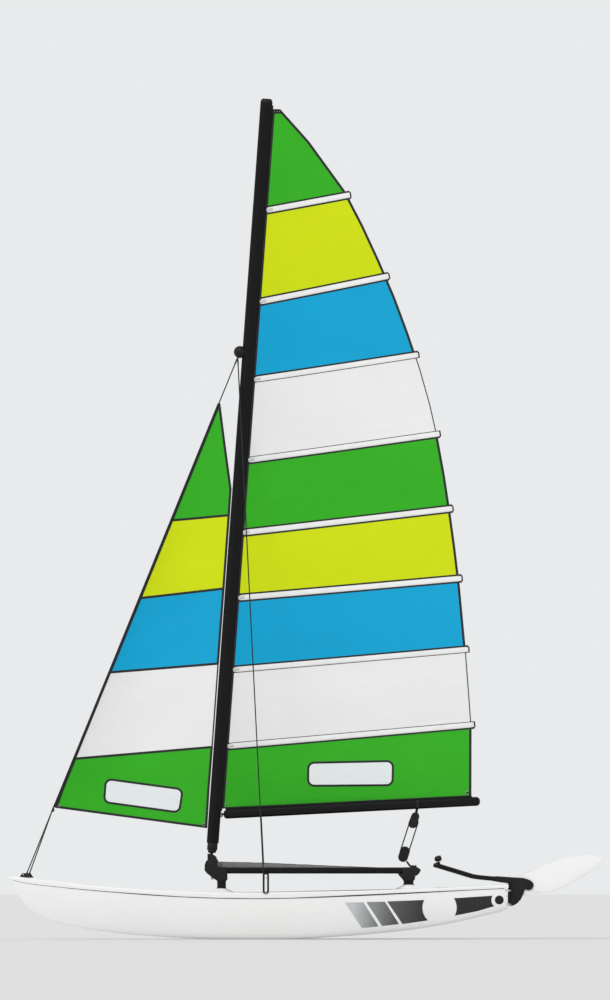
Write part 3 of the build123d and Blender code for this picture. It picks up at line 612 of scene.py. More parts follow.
GREEN, YELLOW, BLUE = srgb(50, 175, 28), srgb(208, 224, 0), srgb(0, 164, 212)
WHITE = (0.83, 0.83, 0.83, 1)
M = {
    "gel": gelcoat("gelcoat_white").m,
    "green": sailcloth("sailcloth_green", GREEN).m,
    "yellow": sailcloth("sailcloth_yellow", YELLOW, 0.95).m,
    "blue": sailcloth("sailcloth_blue", BLUE).m,
    "white": sailcloth("sailcloth_white", WHITE, 0.965).m,
    "tape": tape_mat("edge_tape_black", (0.010, 0.010, 0.011, 1)).m,
    "tape_white": tape_mat("edge_tape_white", (0.80, 0.80, 0.80, 1)).m,
    "mast": black_alloy("anodised_mast", 0.0022, 0.0, (1, 1, 0.02)).m,
    "spar": black_alloy("anodised_spar", 0.003, 0.0, (0.02, 1, 1)).m,
    "beam": black_alloy("anodised_beam", 0.006, 0.0, (1, 0.02, 1)).m,
    "cast": casting_black().m,
    "steel": steel().m,
    "dark_steel": steel("blackened_steel", 0.035, (0.3, 0.45)).m,
    "wire": wire_mat().m,
    "rope_black": rope_mat("rope_black", (0.006, 0.006, 0.006, 1), (0.022, 0.022, 0.022, 1)).m,
    "rope_white": rope_mat("rope_white", (0.62, 0.62, 0.60, 1), (0.10, 0.16, 0.4, 1)).m,
    "web": webbing_mat("webbing_black", (0.012, 0.012, 0.013, 1)).m,
    "tramp": mesh_cloth().m,
    "black_plastic": plastic("moulded_black", (0.008, 0.008, 0.0085, 1)).m,
    "rubber": plastic("rubber_black", (0.012, 0.012, 0.012, 1), (0.6, 0.75), 0.2).m,
}


M["vinyl"] = vinyl("clear_vinyl").m
M["pocket"] = pocket_mat("pocket_white").m
M["cap"] = plastic("batten_cap_white", (0.62, 0.62, 0.61, 1)).m


M["film_1"] = film_mat("film_light", srgb(196, 198, 200), srgb(128, 130, 132), XS - 3.48, XS - 3.72, 0.25).m
M["film_2"] = film_mat("film_mid", srgb(140, 141, 143), srgb(84, 84, 86), XS - 3.70, XS - 3.92, 0.35).m
M["film_3"] = film_mat("film_dark", srgb(84, 84, 86), srgb(34, 32, 32), XS - 3.90, XS - 4.25, 0.55).m
M["film_4"] = film_mat("film_black", srgb(32, 30, 30), srgb(30, 29, 29), XS - 4.5, XS - 4.9, 0.55).m
M["film_dot"] = film_mat("film_dot", srgb(24, 23, 23), srgb(24, 23, 23), XS - 4.9, XS - 5.0, 0.0).m


# ------------------------------------------------------------------ camera, light and floor
D = 220.0
FRAME_H = 10.16                                     # height of the view at the boat, in metres
FRAME_BOTTOM = -0.62
centre_z = FRAME_BOTTOM + FRAME_H / 2
cam_data = bpy.data.cameras.new("camera")
cam = link(bpy.data.objects.new("camera", cam_data))
eye = Vector((0.0, D, 0.52))
aim = Vector((0.0, 0.0, centre_z))
cam.location = eye
cam.rotation_mode = "QUATERNION"
cam.rotation_quaternion = (aim - eye).to_track_quat("-Z", "Y")
cam_data.sensor_width = 36.0
cam_data.lens = 36.0 * (aim - eye).length / FRAME_H
cam_data.clip_start, cam_data.clip_end = 10.0, 4000.0
bpy.context.scene.camera = cam
bpy.context.scene.view_settings.view_transform = "Standard"
bpy.context.scene.view_settings.look = "None"

world = bpy.data.worlds.new("studio")
bpy.context.scene.world = world
world.use_nodes = True
bg = world.node_tree.nodes["Background"]
bg.inputs[0].default_value = (0.84, 0.85, 0.86, 1)
bg.inputs[1].default_value = 0.97


def sun(name, toward, power, angle, col=(1, 1, 1)):
    d = bpy.data.lights.new(name, "SUN")
    d.energy, d.angle, d.color = power, math.radians(angle), col
    o = link(bpy.data.objects.new(name, d))
    o.rotation_mode = "QUATERNION"
    o.rotation_quaternion = Vector(toward).to_track_quat("Z", "Y")
    return o


sun("key", (0.45, 0.80, 0.75), 1.15, 14, (1.0, 0.985, 0.96))
sun("fill", (-0.7, -0.55, 0.65), 0.40, 50, (0.96, 0.98, 1.0))

floor_m = Mat("pale_floor")
floor_m.color(floor_m.mix(floor_m.remap(floor_m.noise(floor_m.obj, 0.6, 5), 0.3, 0.7, 0, 1), (0.66, 0.66, 0.655, 1), (0.645, 0.645, 0.64, 1)))
floor_m.rough(floor_m.remap(floor_m.noise(floor_m.obj, 2, 4), 0.3, 0.7, 0.75, 0.9))
floor_m.set(Specular_IOR_Level=0.15)
R = 1500.0
floor = new_mesh("floor", [(R * math.cos(a), R * math.sin(a), 0.0) for a in [2 * math.pi * k / 96 for k in range(96)]], [tuple(range(96))], floor_m.m, smooth=False)


# ------------------------------------------------------------------ the sails' tables, in mm
LEECH = [
    (1448, 4692), (2162, 4694), (2525, 4668), (2888, 4640), (3252, 4606), (3615, 4572), (3978, 4528), (4342, 4478),
    (4705, 4423), (5068, 4357), (5431, 4275), (5795, 4172), (6158, 4050), (6521, 3915), (6885, 3760), (7248, 3592),
    (7596, 3412), (8108, 3040), (8429, 2752),
]
MAIN_LINES = [
    (1324, 1448), (1958, 2175), (2734, 2938), (3465, 3660), (4128, 4368), (4865, 5128), (5683, 5929), (6474, 6728),
    (7404, 7554), (8429, 8429),
]
MAIN_CAMBER = [(1324, 0.045), (2600, 0.060), (4500, 0.060), (6500, 0.052), (8429, 0.0)]
JIB_CAMBER = [(1127, 0.04), (2600, 0.055), (4300, 0.05), (5477, 0.0)]
MAST_FOOT, MAST_TOP = (2062.0, 917.0), (2616.0, 8538.0)
MAST_SLOPE = (MAST_TOP[0] - MAST_FOOT[0]) / (MAST_TOP[1] - MAST_FOOT[1])
KEEL_Y, POST_Y, RUDDER_Y = 1093.0, 1044.0, 1062.0
BOOM_FRONT, BOOM_REAR = (2185.0, 1265.5), (4762.0, 1398.0)
TANG = (2343.0, 5963.0)
APEX, BOW_TANG, CHAIN = (445.0, 1326.0), (182.0, 656.0), (2607.0, 1206.0)


def lerp_table(rows, x):
    for (a, fa), (b, fb) in zip(rows, rows[1:]):
        if x <= b:
            return fa + (fb - fa) * (x - a) / (b - a)
    (a, fa), (b, fb) = rows[-2:]
    return fa + (fb - fa) * (x - a) / (b - a)


def mast_u(z):
    return MAST_FOOT[0] + (z - MAST_FOOT[1]) * MAST_SLOPE


def luff_u(z):
    return mast_u(z) + 61 + 8


def leech_u(z):
    return lerp_table(LEECH, z)


def stay_u(z):
    return 445 + (z - 1326) * (2134 - 445) / (5477 - 1326)


JIB_LINES = [
    ((466, 1334), (2008, 1127)), ((stay_u(1560) + 7, 1560), (2032, 1520)), ((stay_u(1830) + 7, 1830), (2066, 1950)),
    ((stay_u(2707) + 7, 2707), (2127, 2797)), ((stay_u(3461) + 7, 3461), (2184, 3560)),
    ((stay_u(4251) + 7, 4251), (2238, 4305)), ((stay_u(4540) + 7, 4540), (2256, 4569)),
    ((stay_u(5000) + 7, 5000), (2196, 5010)), ((stay_u(5440) + 7, 5440), (2141, 5442)),
]


def belly(t):
    if t >= 1:
        return -2.51 * (t - 1)
    return math.sin(math.pi * max(t, 0.0) ** 0.8)


def smooth01(x):
    x = min(1.0, max(0.0, x))
    return x * x * (3 - 2 * x)


class Sail:
    """A sail's surface. s counts the cross lines from the foot, t runs from luff to leech."""

    def __init__(self, ends, camber, pillow, panels):
        self.ends, self.camber, self.pillow, self.n = ends, camber, pillow, panels

    def at(self, s, t):
        a, b = self.ends(s)
        chord = math.hypot(b[0] - a[0], b[1] - a[1])
        u, z = a[0] + (b[0] - a[0]) * t, a[1] + (b[1] - a[1]) * t
        y = -lerp_table(self.camber, a[1]) * chord * belly(t) + self.pillow(s, t, u, z, chord)
        return u, y, z

    def inverse(self, u, z):
        lo, hi = -0.35, self.n + 0.2
        for _ in range(42):
            s = (lo + hi) / 2
            a, b = self.ends(s)
            t = (u - a[0]) / (b[0] - a[0]) if abs(b[0] - a[0]) > 1e-6 else 0.0
            if a[1] + (b[1] - a[1]) * t < z:
                lo = s
            else:
                hi = s
        return s, t

    def y(self, u, z):
        s, t = self.inverse(u, z)
        return self.at(s, t)[1]


def pick(rows, s):
    i = min(max(int(s), 0), len(rows) - 2)
    k = s - i
    return i, k


def main_ends(s):
    i, k = pick(MAIN_LINES, s)
    l = MAIN_LINES[i][0] + (MAIN_LINES[i + 1][0] - MAIN_LINES[i][0]) * k
    e = MAIN_LINES[i][1] + (MAIN_LINES[i + 1][1] - MAIN_LINES[i][1]) * k
    return (luff_u(l), l), (leech_u(e), e)


def jib_ends(s):
    i, k = pick(JIB_LINES, s)
    (a0, b0), (a1, b1) = JIB_LINES[i], JIB_LINES[i + 1]
    return (a0[0] + (a1[0] - a0[0]) * k, a0[1] + (a1[1] - a0[1]) * k), (b0[0] + (b1[0] - b0[0]) * k, b0[1] + (b1[1] - b0[1]) * k)


def main_pillow(s, t, u, z, chord):
    """Cloth between two battens lies a little flatter than the battens hold it, with short creases off the luff."""
    f = s - math.floor(s) if s < 9 else 0.0
    inside = math.sin(math.pi * min(max(t, 0), 1))
    bay = 5.5 * math.sin(math.pi * f) ** 2 * (0.35 + 0.65 * inside) * min(1.0, chord / 1200)
    luff_crease = 1.5 * math.exp(-max(t, 0) * 9) * math.sin(z * 0.021 + 2 * math.sin(z * 0.007))
    leech_crease = 1.4 * math.exp(-(1 - min(t, 1)) * 12) * math.sin(z * 0.017 + 1.7)
    diag = 1.4 * inside * math.sin((u * 0.72 + z * 0.69) * 0.021 + 2.0 * math.sin(z * 0.004))
    return bay + (luff_crease + leech_crease + diag) * math.sin(math.pi * f) ** 2


def jib_pillow(s, t, u, z, chord):
    inside = math.sin(math.pi * min(max(t, 0), 1))
    hank = 3.0 * math.exp(-max(t, 0) * 10) * math.sin(z * 0.0262)
    diag = 2.0 * inside * math.sin((u * 0.5 - z * 0.86) * 0.013 + 1.3 * math.sin(z * 0.003))
    k = min(1.0, chord / 700)
    clew = 2.0 * math.exp(-((u - 2008) ** 2 + (z - 1127) ** 2) / (2 * 330.0 ** 2)) * math.sin(math.atan2(z - 1127, 2008 - u) * 11)
    return (hank * 0.8 + diag) * k + clew * (1 - math.exp(-((u - 2008) ** 2 + (z - 1127) ** 2) / (2 * 190.0 ** 2)))


MAIN = Sail(main_ends, MAIN_CAMBER, main_pillow, 9)
JIB = Sail(jib_ends, JIB_CAMBER, jib_pillow, 8)


def panel_grid(name, sail, s0, s1, rows, cols, mat):
    pts = []
    for i in range(rows + 1):
        s = s0 + (s1 - s0) * i / rows
        pts.append([P(*sail.at(s, (j / cols) ** 1.45)) for j in range(cols + 1)])
    return grid(name, pts, mat, sharp=None)


def rounded_quad(c, r, n=8):
    """Corners in order, rounded with radius r."""
    out = []
    m = len(c)
    for i in range(m):
        p0, p1, p2 = Vector(c[i - 1]), Vector(c[i]), Vector(c[(i + 1) % m])
        a, b = (p0 - p1).normalized(), (p2 - p1).normalized()
        half = a.angle(b) / 2
        d = r / math.tan(half)
        q0, q2 = p1 + a * d, p1 + b * d
        centre = p1 + (a + b).normalized() * (r / math.sin(half))
        a0 = math.atan2(q0.y - centre.y, q0.x - centre.x)
        a1 = math.atan2(q2.y - centre.y, q2.x - centre.x)
        while a1 - a0 > math.pi:
            a1 -= 2 * math.pi
        while a1 - a0 < -math.pi:
            a1 += 2 * math.pi
        for k in range(n + 1):
            a = a0 + (a1 - a0) * k / n
            out.append((centre.x + r * math.cos(a), centre.y + r * math.sin(a)))
    return out


def inside_poly(p, poly):
    x, y = p
    hit = False
    for i in range(len(poly)):
        (x0, y0), (x1, y1) = poly[i - 1], poly[i]
        if (y0 > y) != (y1 > y) and x < (x1 - x0) * (y - y0) / (y1 - y0) + x0:
            hit = not hit
    return hit


def densify(poly, step):
    out = []
    for i in range(len(poly)):
        a, b = Vector(poly[i]), Vector(poly[(i + 1) % len(poly)])
        n = max(1, int((b - a).length / step))
        out += [tuple(a + (b - a) * k / n) for k in range(n)]
    return out


def near_poly(p, poly, d):
    px, py = p
    for i in range(len(poly)):
        (ax, ay), (bx, by) = poly[i - 1], poly[i]
        vx, vy = bx - ax, by - ay
        l2 = vx * vx + vy * vy
        t = max(0.0, min(1.0, ((px - ax) * vx + (py - ay) * vy) / l2)) if l2 else 0.0
        if (px - ax - vx * t) ** 2 + (py - ay - vy * t) ** 2 < d * d:
            return True
    return False


def flat_mesh(outline, holes=(), step=50.0, edge=None, extra=()):
    """Triangles that fill an outline less its holes, in the (u, z) plane."""
    from mathutils.geometry import delaunay_2d_cdt
    outline = densify(outline, edge or step)
    loops = [outline] + [densify(h, edge or step) for h in holes]
    verts, edges = [], []
    for lp in loops:
        b = len(verts)
        verts += [Vector(p) for p in lp]
        edges += [(b + i, b + (i + 1) % len(lp)) for i in range(len(lp))]
    us, zs = [p[0] for p in outline], [p[1] for p in outline]
    row = 0
    z = min(zs) + step * 0.5
    while z < max(zs):
        u = min(us) + (step * 0.5 if row % 2 else step)
        while u < max(us):
            p = (u, z)
            if inside_poly(p, outline) and not any(inside_poly(p, h) for h in loops[1:]) and not any(near_poly(p, lp, step * 0.45) for lp in loops):
                verts.append(Vector(p))
            u += step
        z += step * 0.87
        row += 1
    verts += [Vector(p) for p in extra if inside_poly(p, outline)]
    v, _, f, _, _, _ = delaunay_2d_cdt(verts, edges, [], 1, 1e-4)
    faces = []
    for t in f:
        c = (sum(v[i].x for i in t) / len(t), sum(v[i].y for i in t) / len(t))
        if inside_poly(c, outline) and not any(inside_poly(c, h) for h in loops[1:]):
            faces.append(tuple(t))
    return [(p.x, p.y) for p in v], faces


def sail_patch(name, sail, outline, holes, mat, step=50.0, edge=None, lift=0.0, extra=()):
    v, f = flat_mesh(outline, holes, step, edge, extra)
    return new_mesh(name, [P(u, sail.y(u, z) + lift, z) for u, z in v], f, mat, sharp=None)


def thicken(o, mm):
    m = o.modifiers.new("Thick", "SOLIDIFY")
    m.thickness, m.offset = mm / 1000.0, 0.0
    m.use_even_offset = False
    return o


def ribbon(name, sail, path, width, half, mat, across=(-0.5, 0.5), flat=0.55, closed=False, ends=0.0, cols=7, crown=0.22):
    """A tape or pocket that wraps both faces of the cloth along a path in the (u, z) plane, with a crowned section."""
    rows, uvs = [], []
    n = len(path)
    length = 0.0
    for i in range(n):
        u, z = path[i]
        if closed:
            p0, p1 = path[i - 1], path[(i + 1) % n]
        else:
            p0, p1 = path[max(i - 1, 0)], path[min(i + 1, n - 1)]
        du, dz = p1[0] - p0[0], p1[1] - p0[1]
        l = math.hypot(du, dz) or 1.0
        nu, nz = -dz / l, du / l
        if i:
            length += math.hypot(u - path[i - 1][0], z - path[i - 1][1])
        k = 1.0
        if ends and not closed:
            d = min(i, n - 1 - i) / ends
            k = math.sqrt(max(0.0, 1 - (1 - min(1.0, d)) ** 2)) * 0.92 + 0.08
        row, uv = [], []
        for side in (1, -1):
            for j in range(cols):
                x = j / (cols - 1) if side > 0 else 1 - j / (cols - 1)
                a = across[0] + (across[1] - across[0]) * x
                e = abs(2 * x - 1)
                h = half * (1 - max(0.0, (e - flat) / (1 - flat)) ** 2 * crown) * k
                uu, zz = u + nu * a * width, z + nz * a * width
                row.append(P(uu, sail.y(uu, zz) + side * h, zz))
                uv.append((length / 1000.0, x))
        rows.append(row)
        uvs += uv
    if closed:
        rows.append(rows[0])
        uvs += uvs[:2 * cols]
    o = grid(name, rows, mat, closed_u=True, cap=not closed, uvs=uvs, sharp=50)
    return o


def line_path(sail, s, t0, t1, n):
    return [(sail.at(s, t0 + (t1 - t0) * k / n)[0], sail.at(s, t0 + (t1 - t0) * k / n)[2]) for k in range(n + 1)]


def edge_path(sail, t, s0, s1, n):
    return [(sail.at(s0 + (s1 - s0) * k / n, t)[0], sail.at(s0 + (s1 - s0) * k / n, t)[2]) for k in range(n + 1)]


# ------------------------------------------------------------------ mainsail
main_bits, main_with = [], []
MAIN_COLOURS = ["green", "white", "blue", "yellow", "green", "white", "blue", "yellow", "green"]
MAIN_WINDOW = rounded_quad([(3035, 1556), (3893, 1562), (3900, 1808), (3038, 1790)], 62)
for i, col in enumerate(MAIN_COLOURS):
    if i == 0:
        foot = line_path(MAIN, 0, 0, 1, 40)
        up = edge_path(MAIN, 1, 0, 1, 14)[1:]
        back = line_path(MAIN, 1, 1, 0, 40)[1:]
        down = edge_path(MAIN, 0, 1, 0, 14)[1:-1]
        near = [MAIN.at(0.03 + 0.94 * a / 15, t)[0::2] for a in range(16) for t in (0.003, 0.008, 0.014)]
        o = sail_patch("panel", MAIN, foot + up + back + down, [MAIN_WINDOW], M["green"], step=52, edge=52, extra=near)
    else:
        o = panel_grid("panel", MAIN, i, i + 1, 16, max(14, int(60 - 4.5 * i)), M[col])
    main_bits.append(thicken(o, 1.6))
mainsail = join("mainsail_cloth", main_bits, "boom")
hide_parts("mainsail")

glass = sail_patch("g", MAIN, rounded_quad([(3025, 1546), (3903, 1552), (3910, 1818), (3028, 1800)], 66), [], M["vinyl"], step=60, edge=40)
glass = ride(join("mainsail_window", [thicken(glass, 1.0)]), "boom")
ring = [(u, z) for u, z in densify(MAIN_WINDOW, 22)]
w = ribbon("mainsail_window_tape", MAIN, ring, 22, 1.7, M["tape"], closed=True, cols=5)
ride(w, "boom")
main_with += [glass, w]

# edge tapes: heavy along the coloured cloth, fine along the white
bits = []
for i, col in enumerate(MAIN_COLOURS):
    wide = 11 if col == "white" else 25
    p = edge_path(MAIN, 1, i, i + 1, 16)
    bits.append(ribbon("t", MAIN, p, wide, 2.1, M["tape"], across=(-0.12, 0.88), cols=5))
    p = edge_path(MAIN, 0, i, i + 1, 16)
    bits.append(ribbon("t", MAIN, p, 26, 2.8, M["tape"], across=(-0.86, 0.14), cols=5))
bits.append(ribbon("t", MAIN, line_path(MAIN, 0, 0, 1, 60), 14, 2.4, M["tape"], across=(-0.15, 0.85), cols=5))
bits.append(ribbon("t", MAIN, line_path(MAIN, 9, 0, 1, 6), 30, 2.4, M["tape"], across=(-0.9, 0.1), cols=5))
edge = join("mainsail_edge_tape", bits, "boom")
main_with.append(edge)

# batten pockets with their trims, tensioners at the luff and caps past the leech
pockets, trims, caps = [], [], []
for k in range(1, 9):
    l, e = MAIN_LINES[k]
    up_col, low_col = MAIN_COLOURS[k], MAIN_COLOURS[k - 1]
    a, b = (luff_u(l) + 14, l), (leech_u(e) - 4, e)
    chord = math.hypot(b[0] - a[0], b[1] - a[1])
    du, dz = (b[0] - a[0]) / chord, (b[1] - a[1]) / chord
    n = 56
    over = 40.0
    path = [(a[0] + du * x, a[1] + dz * x) for x in [(chord + over) * q / n for q in range(n + 1)]]
    pockets.append(ribbon("p", MAIN, path, 58, 5.6, M["pocket"], flat=0.25, ends=1.2, cols=11, crown=0.72))
    for sgn, col in ((1, up_col), (-1, low_col)):
        wide = 9.0 if col == "white" else 20.0
        off = sgn * (27.0 + wide / 2 - 3.0)
        tp = [(a[0] + du * x - dz * off, a[1] + dz * x + du * off) for x in [(chord + over - 6) * q / n for q in range(n + 1)]]
        trims.append(ribbon("s", MAIN, tp, wide, 2.6, M["tape"], cols=5))
    # cap: a blunt moulded end round the batten
    rows = []
    for q, hk, yk in ((0, 0.90, 0.9), (3, 1.0, 1.0), (9, 1.0, 1.0), (12, 0.93, 0.92), (14, 0.74, 0.7)):
        x = chord + over - 8 + q
        u, z = a[0] + du * x, a[1] + dz * x
        yc = MAIN.y(u, z)
        row = []
        for m in range(24):
            an = 2 * math.pi * m / 24
            cx, cy = math.copysign(abs(math.cos(an)) ** 0.55, math.cos(an)), math.copysign(abs(math.sin(an)) ** 0.7, math.sin(an))
            h, y = cx * 33.0 * hk * 0.97, cy * 6.0 * yk
            row.append(P(u - dz * h, yc + y, z + du * h))
        rows.append(row)
    caps.append(grid("c", rows, M["black_plastic"], closed_u=True, cap=True, sharp=45))
    # luff end: webbing loop and buckle that press the batten aft
    lu = [(a[0] + du * x, a[1] + dz * x) for x in (-8, 6, 20, 40, 60, 80)]
    caps.append(ribbon("l", MAIN, lu, 40, 6.4, M["cap"], flat=0.5, ends=1.5, cols=7, crown=0.72))
pocket = join("batten_pockets", pockets, "boom")
trim = join("batten_pocket_trims", trims, "boom")
cap = join("batten_ends", caps, "boom")
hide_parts("mainsail_battens")
main_with += [pocket, trim, cap]


# corner patches: two layers of the panel's own cloth, stitched
def corner_patch(name, sail, corner, toward0, toward1, in0, in1, r, mat, thick, n=14):
    """A fan-shaped layer in a corner, inside the tapes of the two edges that leave the corner towards the two points."""
    d = []
    for p in (toward0, toward1):
        l = math.dist(p, corner)
        d.append(((p[0] - corner[0]) / l, (p[1] - corner[1]) / l))
    turn = abs(d[0][0] * d[1][1] - d[0][1] * d[1][0])
    cu, cz = (corner[k] + d[0][k] * in1 / turn + d[1][k] * in0 / turn for k in (0, 1))
    a0, a1 = (math.atan2(q[1], q[0]) for q in d)
    if a1 - a0 > math.pi:
        a1 -= 2 * math.pi
    if a0 - a1 > math.pi:
        a1 += 2 * math.pi
    pts = [(cu, cz)]
    for k in range(n + 1):
        an = a0 + (a1 - a0) * (0.004 + 0.992 * k / n)
        rr = r * (1 - 0.16 * math.sin(math.pi * k / n) ** 2)
        pts.append((cu + math.cos(an) * rr, cz + math.sin(an) * rr))
    if a1 < a0:
        pts.reverse()
    o = sail_patch(name, sail, pts, [], mat, step=46, edge=46)
    m = o.modifiers.new("Thick", "SOLIDIFY")
    m.thickness, m.offset = thick / 1000.0, 0.0
    return o


def cloth_normal(sail, u, z, e=12.0):
    du = (sail.y(u + e, z) - sail.y(u - e, z)) / (2 * e)
    dz = (sail.y(u, z + e) - sail.y(u, z - e)) / (2 * e)
    return Vector((du, 1.0, -dz)).normalized()


def ring_eye(name, centre, axis, r, tube_r, mat, seg=28, tseg=10):
    axis = Vector(axis).normalized()
    ref = Vector((0, 0, 1)) if abs(axis.z) < 0.9 else Vector((1, 0, 0))
    n = (ref - axis * ref.dot(axis)).normalized()
    b = axis.cross(n)
    rows = []
    for i in range(seg + 1):
        a = 2 * math.pi * i / seg
        d = n * math.cos(a) + b * math.sin(a)
        rows.append([Vector(centre) + d * (r + tube_r * math.cos(2 * math.pi * j / tseg)) + axis * tube_r * math.sin(2 * math.pi * j / tseg) for j in range(tseg)])
    return grid(name, rows, mat, closed_u=True, sharp=None)


tack = (luff_u(1324), 1324)
clew = (4692, 1448)
bits = []
for r, thick in ((300, 3.6), (190, 4.6)):
    bits.append(corner_patch("q", MAIN, tack, clew, (luff_u(1700), 1700), 13, 24, r, M["green"], thick))
    bits.append(corner_patch("q", MAIN, clew, (leech_u(1850), 1850), tack, 24, 13, r * 1.15, M["green"], thick))
patches = join("mainsail_corner_patches", bits, "boom")
main_with.append(patches)

bits = []
board = [MAIN.at(s, t)[0::2] for s, t in ((8.955, 0.02), (8.998, 0.02), (8.998, 0.97), (8.955, 0.95))]
bits.append(thicken(sail_patch("b", MAIN, rounded_quad(board, 8, 4), [], M["black_plastic"], step=30, edge=20), 6.5))
for s, t in ((8.976, 0.2), (8.976, 0.75), (8.976, 0.5)):
    u, y, z = MAIN.at(s, t)
    bits.append(lathe("r", [(0.0005, -0.0050), (0.0042, -0.0046), (0.0050, -0.0034), (0.0050, 0.0034), (0.0042, 0.0046), (0.0005, 0.0050)], P(u, y, z), (0, 1, 0), M["steel"], 14))
for (u, z), r in ((((clew[0] - 42), clew[1] + 38), 13), (((tack[0] + 46), tack[1] + 36), 12), (((tack[0] + 55), tack[1] + 260), 9)):
    y, nrm = MAIN.y(u, z), cloth_normal(MAIN, u, z)
    for s in (1, -1):
        bits.append(ring_eye("e", P(u, y, z) + nrm * (s * 0.0036), nrm, r / 1000.0, 0.0032, M["steel"]))
    bits.append(lathe("e", [(0.0002, -0.0046), ((r - 2.4) / 1000.0, -0.0040), ((r - 2.4) / 1000.0, 0.0040), (0.0002, 0.0046)], P(u, y, z), nrm, M["rubber"], 20))
hw = join("mainsail_head_board_and_eyes", bits, "boom")
main_with.append(hw)

MAIN_AREA = 0.0
for i in range(9):
    a0, b0 = main_ends(i)
    a1, b1 = main_ends(i + 1)
    MAIN_AREA += 0.5 * (math.dist(a0, b0) + math.dist(a1, b1)) * (0.5 * (math.dist(a0, a1) + math.dist(b0, b1))) / 1e6
MAIN_AREA = round(MAIN_AREA * 0.975, 2)

# ------------------------------------------------------------------ jib
JIB_WINDOW = rounded_quad([(963, 1390), (1726, 1285), (1762, 1520), (981, 1626)], 60)
jib_bits, jib_with = [], []
foot = line_path(JIB, 0, 0, 1, 26)
up = [JIB.at(s, 1)[0::2] for s in (0.35, 0.7, 1.0, 1.35, 1.7, 2.0)]
back = line_path(JIB, 2, 1, 0, 24)[1:]
down = [JIB.at(s, 0)[0::2] for s in (1.7, 1.35, 1.0, 0.7, 0.35)]
near = [JIB.at(0.04 + 1.92 * a / 22, t)[0::2] for a in range(23) for t in (0.006, 0.016, 0.028)]
jib_bits.append(sail_patch("panel", JIB, foot + up + back + down, [JIB_WINDOW], M["green"], step=52, edge=52, extra=near))
for s0, s1, rows, cols, col in ((2, 3, 16, 30, "white"), (3, 4, 14, 26, "blue"), (4, 5, 14, 20, "yellow"), (5, 8, 24, 16, "green")):
    jib_bits.append(panel_grid("panel", JIB, s0, s1, rows, cols, M[col]))
for o in jib_bits:
    thicken(o, 1.6)
jib = join("jib_cloth", jib_bits, "root")
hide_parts("jib")
glass = sail_patch("g", JIB, rounded_quad([(952, 1381), (1735, 1273), (1773, 1529), (970, 1637)], 64), [], M["vinyl"], step=60, edge=40)
glass = ride(join("jib_window", [thicken(glass, 1.0)]), "root")
w = ribbon("jib_window_tape", JIB, densify(JIB_WINDOW, 22), 22, 1.7, M["tape"], closed=True, cols=5)
ride(w, "root")
jib_with += [glass, w]
bits = []
for s in (2, 3, 4, 5):
    bits.append(ribbon("t", JIB, line_path(JIB, s, 0, 1, 30), 24, 2.0, M["tape"], cols=5))
for s0, s1, wl, wt in ((0, 2, 26, 24), (2, 3, 22, 13), (3, 5, 26, 24), (5, 8, 26, 24)):
    bits.append(ribbon("t", JIB, edge_path(JIB, 1, s0, s1, 12 * (s1 - s0)), wt + 5, 2.2, M["tape"], across=(-0.13, 0.72), cols=5))
    bits.append(ribbon("t", JIB, edge_path(JIB, 0, s0, s1, 12 * (s1 - s0)), wl + 6, 2.6, M["tape"], across=(-0.72, 0.28), cols=5))
bits.append(ribbon("t", JIB, line_path(JIB, 0, 0, 1, 30), 24, 2.2, M["tape"], across=(-0.1, 0.9), cols=5))
edge = join("jib_tapes", bits, "root")
jib_with.append(edge)
bits = []
clew_j, tack_j = (2008, 1127), (466, 1334)
for r, thick in ((250, 3.6), (150, 4.6)):
    bits.append(corner_patch("q", JIB, clew_j, (2032, 1520), tack_j, 23, 23, r, M["green"], thick))
    bits.append(corner_patch("q", JIB, tack_j, clew_j, (stay_u(1830), 1830), 23, 25, r * 0.9, M["green"], thick))
patches = join("jib_corner_patches", bits, "root")
jib_with.append(patches)
bits = []
for (u, z), r in (((clew_j[0] - 34), clew_j[1] + 36), 13), (((tack_j[0] + 40), tack_j[1] + 18), 10), ((2150, 5400), 6):
    y, nrm = JIB.y(u, z), cloth_normal(JIB, u, z)
    for s in (1, -1):
        bits.append(ring_eye("e", P(u, y, z) + nrm * (s * 0.0032), nrm, r / 1000.0, 0.003, M["steel"]))
    bits.append(lathe("e", [(0.0002, -0.0044), ((r - 2.2) / 1000.0, -0.0038), ((r - 2.2) / 1000.0, 0.0038), (0.0002, 0.0044)], P(u, y, z), nrm, M["rubber"], 20))
hw = join("jib_corner_eyes", bits, "root")
jib_with.append(hw)

# ------------------------------------------------------------------ softened copies of CAD pieces
def softened(name, node, bevel, mat, body, seg=3, angle=28, extra=None):
    """A piece's own shape with its hard edges rounded off."""
    import bmesh
    bm = bmesh.new()
    bm.from_mesh(NODES[node].data)
    bmesh.ops.remove_doubles(bm, verts=bm.verts[:], dist=2e-5)
    bmesh.ops.dissolve_limit(bm, angle_limit=math.radians(1.2), verts=bm.verts[:], edges=bm.edges[:], delimit={"NORMAL"})
    edges = [e for e in bm.edges if len(e.link_faces) == 2 and e.calc_face_angle(0) > math.radians(angle)]
    bmesh.ops.bevel(bm, geom=edges, offset=bevel / 1000.0, offset_type="OFFSET", segments=seg, profile=0.5, affect="EDGES", clamp_overlap=True, loop_slide=True)
    bmesh.ops.triangulate(bm, faces=[f for f in bm.faces if len(f.verts) > 4])
    me = bpy.data.meshes.new(name)
    bm.to_mesh(me)
    bm.free()
    me.materials.append(mat)
    me.polygons.foreach_set("use_smooth", [True] * len(me.polygons))
    me.set_sharp_from_angle(angle=math.radians(44))
    o = link(bpy.data.objects.new(name, me))
    if extra:
        o = join(name, [o] + extra)
    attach(o, body)
    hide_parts(node)
    return o


